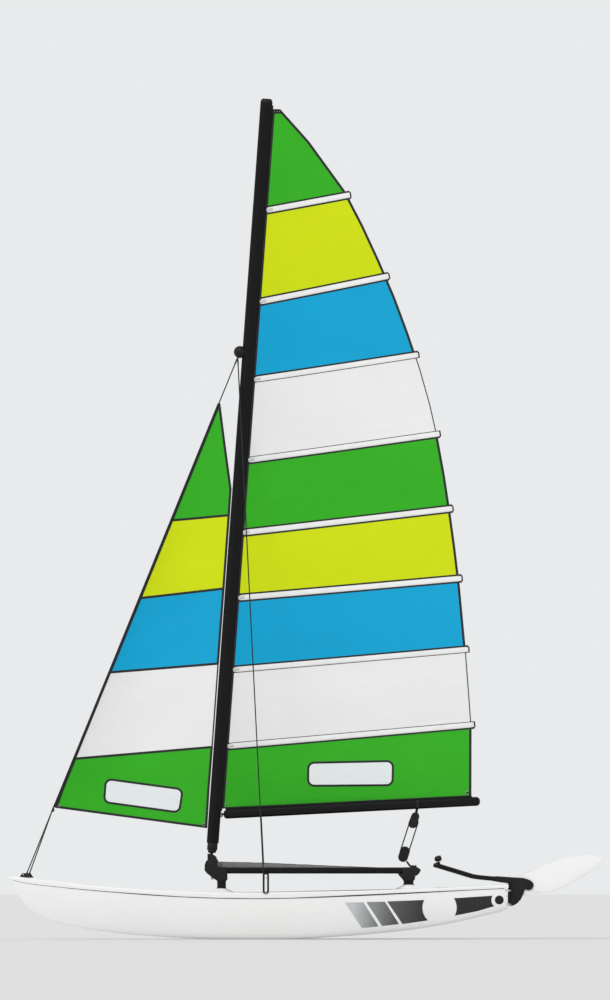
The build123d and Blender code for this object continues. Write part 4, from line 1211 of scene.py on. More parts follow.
def bolt(centre, axis, r, h, mat, hexed=True):
    """A dome washer with a hexagon or pan head on it."""
    axis = Vector(axis).normalized()
    c = Vector(centre)
    k = [lathe("w", [(r * 1.35, 0), (r * 1.35, h * 0.22), (r * 1.22, h * 0.34), (r * 0.4, h * 0.36)], c, axis, mat, 22)]
    if hexed:
        k.append(lathe("h", [(r, h * 0.3), (r, h * 0.92), (r * 0.82, h * 1.06), (r * 0.3, h * 1.08)], c, axis, mat, 6, smooth=False))
    else:
        k.append(lathe("h", [(r, h * 0.3), (r * 0.98, h * 0.6), (r * 0.78, h * 0.88), (r * 0.4, h * 1.02), (0.0002, h * 1.05)], c, axis, mat, 20))
    return k


def rivet(centre, axis, r, mat):
    axis = Vector(axis).normalized()
    return lathe("r", [(r, 0), (r * 0.96, r * 0.22), (r * 0.75, r * 0.42), (r * 0.35, r * 0.52), (r * 0.3, r * 0.40), (0.0002, r * 0.38)], Vector(centre), axis, mat, 16)


from mathutils.bvhtree import BVHTree


def tree(node):
    me = NODES[node].data
    me.calc_loop_triangles()
    return BVHTree.FromPolygons([v.co.copy() for v in me.vertices], [tuple(t.vertices) for t in me.loop_triangles])


TREES = {n: tree(n) for n in ("hull_port", "hull_starboard", "deck_port", "deck_starboard", "front_crossbar", "rear_crossbar", "mast", "boom")}


def hit(node, origin, direction):
    p, n, _, _ = TREES[node].ray_cast(Vector(origin), Vector(direction).normalized())
    return p, n


# ------------------------------------------------------------------ hull graphics, laid on the outboard sides
def circle(c, r, n=64, a0=0.0, a1=360.0):
    return [(c[0] + r * math.cos(math.radians(a0 + (a1 - a0) * k / n)), c[1] + r * math.sin(math.radians(a0 + (a1 - a0) * k / n))) for k in range(n if a1 - a0 >= 360 else n + 1)]


def cut_circle(poly, c, r, keep="outside", step=14):
    """The polygon less a disc that crosses its edge: dense points, with those inside the disc left out."""
    out = []
    for u, z in densify(poly, step):
        d = math.hypot(u - c[0], z - c[1])
        if d < r:
            continue
        out.append((u, z))
    return out


def hull_side(side, u, z, proud):
    name = "hull_port" if side > 0 else "hull_starboard"
    o = P(u, side * 1400, z)
    p, n = hit(name, o, (0, -side, 0))
    if p is None:
        return P(u, side * 1190, z)
    if n.y * side < 0:
        n = -n
    return p + n * (proud / 1000.0)


def decal(name, side, outline, mat, proud=0.7, step=36, holes=()):
    v, f = flat_mesh(outline, holes, step, step * 0.5)
    o = new_mesh(name, [hull_side(side, u, z, proud) for u, z in v], f, mat, sharp=None)
    import bmesh
    bm = bmesh.new()
    bm.from_mesh(o.data)
    for fc in bm.faces:
        if fc.normal.y * side < 0:
            fc.normal_flip()
    bm.to_mesh(o.data)
    bm.free()
    m = o.modifiers.new("Film", "SOLIDIFY")
    m.thickness, m.offset = 0.0008, -1.0
    return o


DISC, DISC_R = (4364.0, 318.0), 173.0
DOT, DOT_R, DOT_GAP = (4967.0, 396.5), 45.0, 80.0
STRIPE_1 = [(3406, 371), (3594, 373), (3748, 130), (3580, 112)]
STRIPE_2 = [(3624, 376), (3811, 380), (3954, 153), (3784, 133)]


def arc_between(c, r, p, q, n, cw):
    """Points on the circle from p to q."""
    a0, a1 = math.atan2(p[1] - c[1], p[0] - c[0]), math.atan2(q[1] - c[1], q[0] - c[0])
    if cw:
        while a1 > a0:
            a1 -= 2 * math.pi
    else:
        while a1 < a0:
            a1 += 2 * math.pi
    return [(c[0] + r * math.cos(a0 + (a1 - a0) * k / n), c[1] + r * math.sin(a0 + (a1 - a0) * k / n)) for k in range(n + 1)]


def on_circle(c, r, z, sgn):
    return (c[0] + sgn * math.sqrt(max(0.0, r * r - (z - c[1]) ** 2)), z)


top3, low3 = on_circle(DISC, DISC_R, 397, -1), on_circle(DISC, DISC_R, 190, -1)
STRIPE_3 = [(3834, 382)] + arc_between(DISC, DISC_R, top3, low3, 24, False) + [(3989, 153)]
top4, low4 = on_circle(DISC, DISC_R, 414, 1), on_circle(DISC, DISC_R, 238, 1)
gap_top, gap_low = on_circle(DOT, DOT_GAP, 440, -1), on_circle(DOT, DOT_GAP, 334, -1)
BAND = [top4, (4700, 427)] + arc_between(DOT, DOT_GAP, gap_top, gap_low, 16, False) + [(4740, 282)] + arc_between(DISC, DISC_R, low4, top4, 14, False)[:-1]

for side, tag in ((1, "port"), (-1, "starboard")):
    bits = [
        decal("d", side, STRIPE_1, M["film_1"]), decal("d", side, STRIPE_2, M["film_2"]),
        decal("d", side, STRIPE_3, M["film_3"], step=30), decal("d", side, BAND, M["film_4"], step=30),
        decal("d", side, circle(DOT, DOT_R, 40), M["film_dot"], step=24),
    ]
    o = join("hull_graphics_" + tag, bits, "root")

# joint line between hull and deck: a dark rubber bead tucked under the deck's lip, a painted shadow line that stands in
# for the lip's shade
SEAM = [
    (14, 612), (54, 601), (82, 592), (109, 584), (136, 578), (191, 568), (245, 559), (340, 548), (472, 535), (654, 515),
    (836, 498), (1017, 483), (1199, 468), (1381, 454), (1562, 442), (1744, 432), (1926, 424), (2107, 418), (2289, 414),
    (2471, 413), (2652, 414), (2834, 417), (3015, 422), (3197, 428), (3379, 435), (3560, 443), (3742, 451), (3924, 460),
    (4105, 469), (4287, 479), (4469, 489), (4650, 499), (4832, 508), (4975, 514), (5026, 516),
]
for side, tag in ((1, "port"), (-1, "starboard")):
    bits = []
    for way in (1, -1):
        pts, rr = [], []
        for k in range(150):
            u = 60 + (5016 - 60) * k / 149
            z = lerp_table(SEAM, u) - 3.2
            name = "hull_port" if side > 0 else "hull_starboard"
            p, n = hit(name, P(u, side * KEEL_Y + way * 400, z), (0, -way, 0))
            if p is None:
                continue
            pts.append(p + Vector((0, way * 0.8 / 1000, 0)))
            rr.append((1.1 + 2.1 * smooth01((u - 60) / 1200)) / 1000.0)
        bits.append(tube("seam", pts, rr, M["rubber"], seg=8, sharp=None))
    # painted shadow line under the deck's lip, made as a dark rubber bead
    o = join("seam_shadow_bead_" + tag, bits, "root")

# ------------------------------------------------------------------ trampoline
def tramp_z(u, y):
    mid = lerp_table([(2117, 782), (2600, 771), (3379, 737), (3984, 715)], u)
    return mid - (mid - 706) * (abs(y) / 1018.0) ** 5


def tramp_cloth(u, y):
    """The weave's middle surface: a little slack between its edges."""
    a, b = (u - 2117) / 1867.0, (abs(y) - 14) / 1004.0
    sag = -5.0 * math.sin(math.pi * min(max(a, 0), 1)) * math.sin(math.pi * min(max(b, 0), 1))
    pucker = 0.8 * math.exp(-abs(a - 1) * 26) * math.sin(abs(y) * 0.050) + 0.8 * math.exp(-b * 30) * math.sin(u * 0.042)
    return tramp_z(u, y) - 3.0 + sag + pucker


def outer_edge(u):
    return 978 + (1018 - 978) * smooth01((u - 2204) / 24.0)


def tramp_hem(name, path, r, mat, seg=10):
    return tube(name, [P(u, y, tramp_cloth(u, y) + dz) for u, y, dz in path], r / 1000.0, mat, seg=seg, sharp=60)


def strap(name, pts, half_w, thick, mat, across=(0, 1, 0)):
    """Flat webbing along points in the row frame, its width along a fixed direction."""
    fr = frames_along(pts)
    ax = Vector(across).normalized()
    rows, uvs, s = [], [], 0.0
    for i, (p, t, _, _) in enumerate(fr):
        if i:
            s += (p - fr[i - 1][0]).length
        side = (ax - t * ax.dot(t)).normalized()
        up = t.cross(side).normalized()
        row, uv = [], []
        for a, b in ((-1, -0.6), (-0.96, -1), (-0.5, -1), (0, -1), (0.5, -1), (0.96, -1), (1, -0.6), (1, 0.6), (0.96, 1), (0.5, 1), (0, 1), (-0.5, 1), (-0.96, 1), (-1, 0.6)):
            row.append(p + side * (a * half_w) + up * (b * thick / 2))
            uv.append((s, a * 0.5 + 0.5))
        rows.append(row)
        uvs += uv
    return grid(name, rows, mat, closed_u=True, cap=True, uvs=uvs, sharp=50)


for side, tag in ((1, "port"), (-1, "starboard")):
    us = sorted({2117 + 1867 * k / 64 for k in range(65)} | {2204, 2210, 2216, 2222, 2228})
    rows = []
    for u in us:
        e = outer_edge(u)
        rows.append([P(u, side * (16 + (e - 16) * (1 - (1 - j / 36) ** 1.35)), tramp_cloth(u, 16 + (e - 16) * (1 - (1 - j / 36) ** 1.35))) for j in range(37)])
    cloth = thicken(grid("trampoline_cloth_" + tag, rows, M["tramp"], sharp=None), 2.4)
    ride(cloth, "root")
    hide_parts("trampoline_" + tag)
    bits = []
    # hems: rolled round a bolt rope at the front and outboard, flat webbing aft and at the middle
    n = 40
    bits.append(tramp_hem("h", [(2112, side * (16 + 962 * k / n), 0.5) for k in range(n + 1)], 6.5, M["web"]))
    bits.append(tramp_hem("h", [(2206 + (3984 - 2206) * k / n, side * 1013.5, 0.0) for k in range(n + 1)], 6.5, M["web"]))
    for u0, y0, u1, y1, w in ((2120, 30, 3978, 30, 30), (3962, 18, 3962, 1010, 34), (2150, 18, 2150, 974, 34), (2216, 990, 3978, 990, 34)):
        pts = [P(u0 + (u1 - u0) * k / n, side * (y0 + (y1 - y0) * k / n), tramp_cloth(u0 + (u1 - u0) * k / n, y0 + (y1 - y0) * k / n) + 0.6) for k in range(n + 1)]
        bits.append(strap("w", pts, w / 2000.0, 0.0052, M["web"], (1, 0, 0) if u0 == u1 else (0, 1, 0)))
    hems = join("trampoline_hems_" + tag, bits, "root")
    # eyelets along the rear hem
    bits = []
    for k in range(13):
        y = 60 + (970 - 60) * k / 12
        bits.append(ring_eye("e", P(3962, side * y, tramp_cloth(3962, y) + 3.6), (0, 0, 1), 0.0085, 0.0026, M["steel"], 20, 8))
        bits.append(lathe("e", [(0.0062, -0.001), (0.0062, 0.0006)], P(3962, side * y, tramp_cloth(3962, y) + 3.4), (0, 0, 1), M["rubber"], 16))
    eyes = join("trampoline_eyelets_" + tag, bits, "root")
    # webbing loops that draw the rear hem to the rear beam
    bits = []
    for k in range(6):
        y = side * (120 + (900 - 120) * k / 5)
        zc = tramp_cloth(3962, abs(y))
        path = [(3946, zc + 3.6), (3975, zc + 3.8), (4030, zc + 6), (4076, 722), (4094, 729.4), (4112, 730), (4132, 727), (4150, 712), (4158.6, 690), (4156, 668), (4140, 648), (4112, 638.8), (4084, 648), (4068, 664), (4030, 690), (3985, zc - 3.2), (3950, zc - 3.8)]
        bits.append(strap("s", smooth_path([P(u, y, z) for u, z in path], 4), 0.012, 0.0018, M["web"]))
        bits.append(box_mesh("s", P(4038, y - 17, zc + 5.5), P(4014, y + 17, zc + 11.5), M["black_plastic"], 0.0016))
    loops = join("trampoline_rear_straps_" + tag, bits, "root")
    # hiking strap with its stitched ends
    y = side * 430
    path = [(2150, 4.0), (2200, 4.2), (2290, 5.5), (2500, 7), (2900, 8), (3300, 8), (3700, 7), (3880, 5.5), (3940, 4.4), (3968, 4.0)]
    pts = smooth_path([P(u, y, tramp_cloth(u, y) + dz) for u, dz in path], 5)
    bits = [strap("s", pts, 0.026, 0.0032, M["web"])]
    for u in (2160, 2176, 3944, 3958):
        bits.append(box_mesh("s", P(u - 3, y - 24, tramp_cloth(u, y) + 4), P(u + 3, y + 24, tramp_cloth(u, y) + 7.2), M["web"], 0.0012))
    hike = join("hiking_strap_" + tag, bits, "root")

# the flap that covers the joint between the two halves
pts = [P(2118 + 1864 * k / 60, 0, tramp_cloth(2118 + 1864 * k / 60, 14) + 4.6 + 0.5 * math.sin(k * 0.9)) for k in range(61)]
flap = join("trampoline_centre_flap", [strap("f", pts, 0.052, 0.0030, M["web"])], "root")

# ------------------------------------------------------------------ beams, castings, step and striker
FRONT_BAR_C, REAR_BAR_C = (2062.0, 745.0, 52.0, 52.0), (4112.0, 684.0, 44.0, 42.0)


def bar_ring(name, bar, y0, y1, grow, mat, n=64):
    """A collar round a crossbar."""
    u, z, a, b = bar
    rows = []
    for y, g in ((y0, grow * 0.2), (y0 + (y1 - y0) * 0.12, grow), (y1 - (y1 - y0) * 0.12, grow), (y1, grow * 0.2)):
        rows.append([P(u + (a + g) * math.cos(2 * math.pi * k / n), y, z + (b + g) * math.sin(2 * math.pi * k / n)) for k in range(n)])
    return grid(name, rows, mat, closed_u=True, sharp=40)


for node, bevel in (("front_casting_port", 7), ("front_casting_starboard", 7), ("rear_casting_port", 7), ("rear_casting_starboard", 7)):
    side = 1 if node.endswith("port") else -1
    front = node.startswith("front")
    spots = [(2180, 640), (2132, 640), (2040, 765), (2085, 780)] if front else [(4036, 640), (4080, 640), (4112, 700), (4010, 700)]
    ex = []
    for u, z in spots:
        ex += bolt(P(u, side * 1103.4, z), (0, side, 0), 0.0062, 0.0052, M["dark_steel"], hexed=False)
        ex += bolt(P(u, side * 984.6, z), (0, -side, 0), 0.0062, 0.0052, M["dark_steel"], hexed=True)
    softened(node.replace("casting", "corner_casting"), node, bevel, M["cast"], "root", seg=4, extra=ex)

bits = []
for side in (1, -1):
    bits.append(bar_ring("r", FRONT_BAR_C, side * 972, side * 983.5, 2.2, M["rubber"]))
    for y in (300, 330, 620, 650, 940):
        for an in (60, 120):
            a = math.radians(an)
            bits.append(rivet(P(2062 + 52 * math.cos(a), side * y, 745 + 52 * math.sin(a)), (-math.cos(a), 0, math.sin(a)), 0.0042, M["steel"]))
hw = join("front_crossbar_rivets", bits, "root")
bits = []
for side in (1, -1):
    bits.append(bar_ring("r", REAR_BAR_C, side * 972, side * 983.5, 2.2, M["rubber"]))
    for y in (860, 900, 940):
        for an in (50, 130):
            a = math.radians(an)
            bits.append(rivet(P(4112 + 44 * math.cos(a), side * y, 684 + 42 * math.sin(a)), (-math.cos(a), 0, math.sin(a)), 0.0042, M["steel"]))
hw = join("rear_crossbar_rivets", bits, "root")

bits = []
for side in (1, -1):
    for u, length, width, z0, z1 in ((2157, 82, 50, 513, 594), (4056, 91, 50, 550, 595)):
        for zc, g, h in ((z0 + 3, 5.0, 6.0), (z1 - 3, 3.0, 5.0)):
            rows = []
            for dz, gg in ((-h, g), (0, g + 0.4), (h * 0.7, g * 0.6), (h, 0.2)):
                rows.append([P(u + (length / 2 + gg) * math.cos(2 * math.pi * k / 48), side * 1044 + (width / 2 + gg) * math.sin(2 * math.pi * k / 48), zc + (dz if zc < 560 else -dz)) for k in range(48)])
            bits.append(grid("g", rows, M["rubber"], closed_u=True, sharp=40))
hw = join("pylon_collars", bits, "root")

for tag, side in (("port", 1), ("starboard", -1)):
    bits = []
    for u in (2250, 2310, 2700, 3100, 3500, 3900, 3960):
        bits.append(rivet(P(u, side * 1065, 695), (0, side, 0), 0.0042, M["dark_steel"]))
    # the sail-track groove's lips along the inner face
    for z in (701, 711):
        bits.append(tube("l", [P(2216, side * 1022.6, z), P(3100, side * 1022.6, z), P(3988, side * 1022.6, z)], 0.0018, M["spar"], seg=8))
    hw = join("side_rail_fittings_" + tag, bits, "root")

softened("mast_step_casting", "mast_step", 2.5, M["cast"], "root", seg=3, extra=
         bolt(P(2056, 48.2, 808), (0, 1, 0), 0.006, 0.005, M["dark_steel"]) + bolt(P(2056, -48.2, 808), (0, -1, 0), 0.006, 0.005, M["dark_steel"]) +
         [lathe("c", [(0.0130, 0), (0.0165, 0.001), (0.0165, 0.006), (0.0135, 0.008)], P(2056, 0, 846), (0, 0, 1), M["steel"], 28)])

bits = []
bits.append(lathe("n", [(0.020, 0), (0.021, 0.002), (0.021, 0.008), (0.013, 0.012)], P(2062, 0, 692.5), (0, 0, -1), M["cast"], 32))
bits.append(lathe("n", [(0.0135, 0), (0.0150, 0.001), (0.0150, 0.014), (0.0135, 0.0155)], P(2062, 0, 625), (0, 0, -1), M["steel"], 6, smooth=False))
for side in (1, -1):
    a, b = P(2062, 0, 612), P(2062, side * 900, 688)
    d = (b - a).normalized()
    bits.append(lathe("s", [(0.0050, 0), (0.0085, 0.002), (0.0085, 0.018), (0.0050, 0.020)], b - d * 0.060, d, M["steel"], 6, smooth=False))
    bits.append(lathe("s", [(0.0050, 0), (0.0075, 0.003), (0.0075, 0.040), (0.0050, 0.043)], a + d * 0.014, d, M["steel"], 20))
hw = join("dolphin_striker_nuts", bits, "root")

# ------------------------------------------------------------------ traveller
car = join("traveller_slide", [box_mesh("c", P(4080, -50, 734), P(4138, 50, 748), M["black_plastic"], 0.0030, 3)] +
         [lathe("w", [(0.0005, 0), (0.0085, 0.0005), (0.0095, 0.002), (0.0095, 0.006), (0.0085, 0.0075), (0.0005, 0.008)], P(4109, sy * 34 - 4, 741), (0, 1, 0), M["steel"], 22) for sy in (1, -1)] +
         [tube("k", smooth_path([P(4104, 0, 739), P(4088, 0, 739), P(4075, 0, 741), P(4066, 0, 748), P(4056, 0, 762), P(4045, 0, 777), P(4034, 0, 790)], 5), [0.0098] * 27 + [0.0096, 0.0090, 0.0078, 0.0056], M["cast"], seg=18)], "root")
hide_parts("traveller_car")
bits = []
for side in (1, -1):
    bits.append(box_mesh("e", P(4092, side * 820, 727), P(4134, side * 838, 741), M["black_plastic"], 0.003))
    for k in range(9):
        y = side * (60 + 90 * k)
        bits.append(lathe("s", [(0.0048, -0.0004), (0.0046, 0.0010), (0.0026, 0.0013), (0.0022, 0.0006), (0.0001, 0.0005)], P(4112, y, 734), (0, 0, 1), M["steel"], 18))
hw = join("traveller_track_ends", bits, "root")

# ------------------------------------------------------------------ mast and boom fittings
bits = [tube("r", [P(mast_u(z) + 66.2, 0, z) for z in [1296 + (8470 - 1296) * k / 90 for k in range(91)]], 0.0066, M["mast"], seg=12)]
for z in (1012, 1040, 5870, 5905, 6020, 6055, 8440, 8470):
    for sy in (1, -1):
        bits.append(rivet(P(mast_u(z) + 16, sy * 31.4, z), (0, sy, 0), 0.0044, M["dark_steel"]))
hw = join("mast_luff_track", bits, "mast")
softened("mast_heel", "mast_base", 2.0, M["black_plastic"], "mast", seg=3, extra=
         [lathe("b", [(0.020, 0.0), (0.043, -0.001), (0.0445, 0.003), (0.0425, 0.010), (0.0440, 0.013), (0.0400, 0.021), (0.0385, 0.024), (0.0330, 0.0305), (0.0250, 0.0310), (0.0232, 0.0285), (0.0232, 0.012), (0.020, 0.004)], P(2061, 0, 904), (0, 0, -1), M["rubber"], 44)])
softened("mast_cap", "mast_head", 1.5, M["black_plastic"], "mast", seg=3)
softened("gooseneck_fitting", "gooseneck", 0.8, M["dark_steel"], "mast", seg=2)


def bar_strip(name, low, high, half_w, mat):
    """A flat-sided strip standing on its edge, between two lines in the (u, z) plane."""
    rows = []
    for (u0, z0), (u1, z1) in zip(low, high):
        h = half_w
        rows.append([P(u0, -h, z0), P(u0, h, z0), P(u1, h, z1 - 1.5), P(u1, h * 0.7, z1), P(u1, -h * 0.7, z1), P(u1, -h, z1 - 1.5)])
    return grid(name, rows, mat, closed_u=True, cap=True, sharp=30)


def boom_top(u):
    return 1265.5 + (u - 2185) * (1398 - 1265.5) / (4762 - 2185) + 46.0


foot = [line_path(MAIN, 0, 0, 1, 24)[k] for k in range(25)]
bits = [bar_strip("b", [(max(u, 2197), boom_top(max(u, 2197)) - (20 if u < 2200 else 3)) for u, z in foot], [(max(u, 2197), z + 2.0) for u, z in foot], 6.0, M["spar"])]
# clew slide and its shackle, bail for the upper block, rivets of the end caps
bits.append(box_mesh("c", P(4668, -11, 1437), P(4704, 11, 1449), M["black_plastic"], 0.002))
bits.append(tube("c", smooth_path([P(4688, -9, 1447), P(4680, -10, 1466), P(4662, -8, 1488), P(4650, 0, 1496), P(4662, 8, 1488), P(4680, 10, 1466), P(4688, 9, 1447)], 6), 0.0028, M["dark_steel"], seg=10))
ub = 4147.0
ring = []
for k in range(72):
    a = 2 * math.pi * k / 72
    cy, cz = math.cos(a), math.sin(a)
    ring.append((math.copysign(abs(cy) ** 0.62, cy) * 28.2, math.copysign(abs(cz) ** 0.72, cz) * 48.2))
rows = []
for du, g in ((-16, -1.6), (-15, 0.0), (15, 0.0), (16, -1.6)):
    rows.append([P(ub + du, y + math.copysign(abs(g), -y * g if g else 1) * (1 if g else 0), boom_top(ub + du) - 46 + z) for y, z in ring])
bits.append(grid("b", rows, M["dark_steel"], closed_u=True, sharp=30))
for sy in (1, -1):
    bits.append(rivet(P(4147, sy * 28.0, boom_top(4147) - 46), (0, sy, 0), 0.0046, M["dark_steel"]))
    for u, dz in ((4716, 14), (4716, -14)):
        bits.append(rivet(P(u, sy * 26.0, boom_top(u) - 46 + dz), (0, sy, 0), 0.0042, M["dark_steel"]))
hw = join("boom_track_and_bail", bits, "boom")
BOOM_SECTION = []
for k in range(56):
    a = 2 * math.pi * (k + 0.5) / 56
    cy, cz = math.cos(a), math.sin(a)
    # a 52 by 92 tube whose corners turn at 24 mm
    BOOM_SECTION.append((math.copysign(min(abs(cy) * 1e9, 2.0), cy) + 24 * cy, math.copysign(22.0, cz) + 24 * cz))
L_BOOM = math.hypot(4762 - 2185, 1398 - 1265.5)
BD = ((4762 - 2185) / L_BOOM, (1398 - 1265.5) / L_BOOM)


def boom_at(x, y, h):
    """x along the boom from its fore end, y to port, h square to it."""
    return P(2185 + BD[0] * x - BD[1] * h, y, 1265.5 + BD[1] * x + BD[0] * h)


rows = []
R_END = 38.0
stops = []
for k in range(13):
    a = math.pi / 2 * (1 - k / 12)
    stops.append((-8 + R_END * (1 - math.sin(a)), 20.0 * (1 - math.cos(a)), R_END * (1 - math.cos(a))))
stops += [(400, 0, 0), (900, 0, 0), (1400, 0, 0), (1900, 0, 0), (2300, 0, 0)]
for x, cy, cz in stops:
    rows.append([boom_at(x, y * (1 - cy / 26), h * (1 - cz / 46)) for y, h in BOOM_SECTION])
for k in range(13):
    a = math.pi / 2 * k / 12
    x = L_BOOM + 20 - R_END + R_END * math.sin(a)
    cz, cy = R_END * (1 - math.cos(a)), 20.0 * (1 - math.cos(a))
    rows.append([boom_at(x, y * (1 - cy / 26), h * (1 - cz / 46)) for y, h in BOOM_SECTION])
bits = [grid("boom", rows, M["spar"], closed_u=True, cap=True, sharp=50)]
# joint line of the moulded end cap, and the front tongue with its eye
ax_d = Vector((-math.sin(math.atan(MAST_SLOPE)), 0, math.cos(math.atan(MAST_SLOPE))))
pin = P(mast_u(1265.5), 0, 1265.5) + Vector((-ax_d.z, 0, ax_d.x)) * 0.074
bits.append(lathe("e", [(0.0042, -0.0098), (0.0068, -0.0100), (0.0079, -0.0088), (0.0079, 0.0088), (0.0068, 0.0100), (0.0042, 0.0098)], pin, ax_d, M["dark_steel"], 32))
tip = boom_at(-6, 0, 0)
bits.append(box_mesh("t", tip + Vector((0.0, -0.0068, -0.0092)), Vector((pin.x - 0.005, 0.0068, tip.z + 0.0092)), M["dark_steel"], 0.0016))
for sy in (1, -1):
    for x in (40, 62):
        bits.append(rivet(boom_at(x, sy * 25.9, 0), (0, sy, 0), 0.0042, M["dark_steel"]))
row_ring = []
for dx, g in ((-1.2, 0.0), (-0.6, 0.7), (0.6, 0.7), (1.2, 0.0)):
    row_ring.append([boom_at(L_BOOM - 26 + dx, y * (1 + g / 26), h * (1 + g / 46)) for y, h in BOOM_SECTION])
bits.append(grid("j", row_ring, M["black_plastic"], closed_u=True, sharp=50))
o = join("boom_tube", bits, "boom")
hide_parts("boom", "boom_ends")

# ------------------------------------------------------------------ mainsheet blocks and their falls
def stadium(c, tilt, half_len, half_w, n=20, taper=0.0):
    """Outline with rounded ends; its long way leans aft by tilt degrees."""
    t = math.radians(tilt)
    L, S = (math.sin(t), math.cos(t)), (math.cos(t), -math.sin(t))
    out = []
    for end, sgn in ((1, 1), (-1, -1)):
        hw = half_w * (1 - taper * (1 if end > 0 else 0))
        for k in range(n + 1):
            a = math.pi * k / n
            x, y = math.cos(a) * hw * sgn, (half_len - half_w) * sgn + math.sin(a) * half_w * sgn
            out.append((c[0] + L[0] * y + S[0] * x, c[1] + L[1] * y + S[1] * x))
    return out


def sheave(c, y, r, width, mat):
    w = width / 2
    return lathe("s", [(0.0006, -w), (r * 0.5, -w), (r * 0.52, -w * 0.8), (r * 0.86, -w * 0.8), (r * 0.88, -w), (r, -w), (r, -w * 0.8), (r * 0.90, -w * 0.35), (r * 0.885, 0),
                       (r * 0.90, w * 0.35), (r, w * 0.8), (r, w), (r * 0.88, w), (r * 0.86, w * 0.8), (r * 0.52, w * 0.8), (r * 0.5, w), (0.0006, w)], P(c[0], y, c[1]), (0, 1, 0), mat, 44)


def pulley(name, c, half_len, half_w, centre, strap_ends, node, extra, taper):
    bits = []
    outline = stadium(c, 18, half_len, half_w, taper=taper)
    for s in (1, -1):
        bits.append(prism_mesh("c", outline, s * 24.5, s * 30.0, M["black_plastic"], bevel=2.4, seg=3))
        inner = stadium(c, 18, half_len - 14, half_w - 14, taper=taper)
        bits.append(prism_mesh("c", inner, s * 29.0, s * 31.2, M["black_plastic"], bevel=1.0, seg=2))
        bits += bolt(P(centre[0], s * 30.8, centre[1]), (0, s, 0), 0.0085, 0.0042, M["dark_steel"], hexed=False)
    bits.append(prism_mesh("c", stadium(c, 18, half_len - 3, half_w - 3, taper=taper), -2.0, 2.0, M["black_plastic"], bevel=0.8, seg=2))
    for y in (-12.5, 12.5):
        bits.append(sheave(centre, y, 0.040, 0.019, M["black_plastic"]))
    for (u, z) in strap_ends:
        bits.append(lathe("p", [(0.0006, -0.031), (0.0050, -0.0308), (0.0050, 0.0308), (0.0006, 0.031)], P(u, 0, z), (0, 1, 0), M["dark_steel"], 18))
        for s in (1, -1):
            bits.append(rivet(P(u, s * 30.6, z), (0, s, 0), 0.0066, M["dark_steel"]))
    o = join(name, bits + extra, "boom")
    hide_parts(node)
    return o


C1, C2 = (4110.6, 1185.0), (4012.5, 880.0)
head = stadium((4112, 1206), 18, 66, 1)
hanger = [prism_mesh("h", [(4120, 1262), (4134, 1256), (4147, 1268), (4156, 1340), (4150, 1350), (4136, 1350), (4130, 1342)], -8.5, 8.5, M["cast"], bevel=3.0, seg=3)]
for w in (1, -1):
    hanger += bolt(P(4142, w * 8.3, 1322), (0, w, 0), 0.0050, 0.0034, M["dark_steel"], hexed=False)
pulley("mainsheet_upper_pulley", (4112, 1206), 84, 46, C1, [(4133, 1268)], "mainsheet_upper_block", hanger, 0.10)
link_bits = []
pulley("mainsheet_lower_pulley", (4010, 861), 81, 50, C2, [(3992, 806)], "mainsheet_lower_block", link_bits, 0.0)

bits = []
for y in (-12.5, 12.5):
    r = 41.6
    d = (C1[0] - C2[0], C1[1] - C2[1])
    l = math.hypot(*d)
    d = (d[0] / l, d[1] / l)
    nrm = (-d[1], d[0])
    base = math.atan2(nrm[1], nrm[0])
    pts = []
    for k in range(25):
        a = base - math.pi * k / 24
        pts.append((C1[0] + r * math.cos(a), C1[1] + r * math.sin(a)))
    for k in range(1, 12):
        t = k / 12
        pts.append((C1[0] + (C2[0] - C1[0]) * t - nrm[0] * r, C1[1] + (C2[1] - C1[1]) * t - nrm[1] * r))
    for k in range(25):
        a = base - math.pi - math.pi * k / 24
        pts.append((C2[0] + r * math.cos(a), C2[1] + r * math.sin(a)))
    for k in range(1, 12):
        t = k / 12
        pts.append((C2[0] + (C1[0] - C2[0]) * t + nrm[0] * r, C2[1] + (C1[1] - C2[1]) * t + nrm[1] * r))
    pts.append(pts[0])
    bits.append(tube("f", [P(u, y, z) for u, z in pts], 0.0064, M["rope_black"], seg=12, ends=False, sharp=None))
falls = join("mainsheet_falls", bits, "boom")

# ------------------------------------------------------------------ standing rigging
def stay(name, a, b, r, node, low_swage=0.06, high_swage=0.06, extra=()):
    a, b = Vector(a), Vector(b)
    d = (b - a).normalized()
    n = max(8, int((b - a).length * 12))
    bits = [tube("w", [a.lerp(b, k / n) for k in range(n + 1)], r, M["wire"], seg=14)]
    for p, q, h in ((a, d, low_swage), (b, -d, high_swage)):
        if h:
            bits.append(lathe("s", [(r * 0.6, 0), (0.0072, 0.0015), (0.0078, 0.004), (0.0078, h * 0.85), (0.0070, h * 0.95), (r * 0.98, h)], p, q, M["dark_steel"], 20))
    o = join(name, bits + list(extra), "root")
    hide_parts(node)
    return o


def shackle(c, axis, up, size, wire_r, mat):
    """A bow shackle: its pin lies along axis, its bow points along up."""
    c, axis, up = Vector(c), Vector(axis).normalized(), Vector(up).normalized()
    pts = []
    for k in range(15):
        a = math.pi * k / 14
        pts.append(c + axis * (math.cos(a) * size * 0.62) + up * (size * 0.55 + math.sin(a) * size * 0.75))
    pts = [c + axis * size * 0.5] + pts + [c - axis * size * 0.5]
    k = [tube("k", smooth_path(pts, 3), wire_r, mat, seg=10)]
    k.append(lathe("k", [(wire_r, 0), (wire_r, size * 1.3), (wire_r * 1.9, size * 1.31), (wire_r * 1.9, size * 1.55), (wire_r * 1.2, size * 1.6)], c - axis * size * 0.75, axis, mat, 14))
    return k


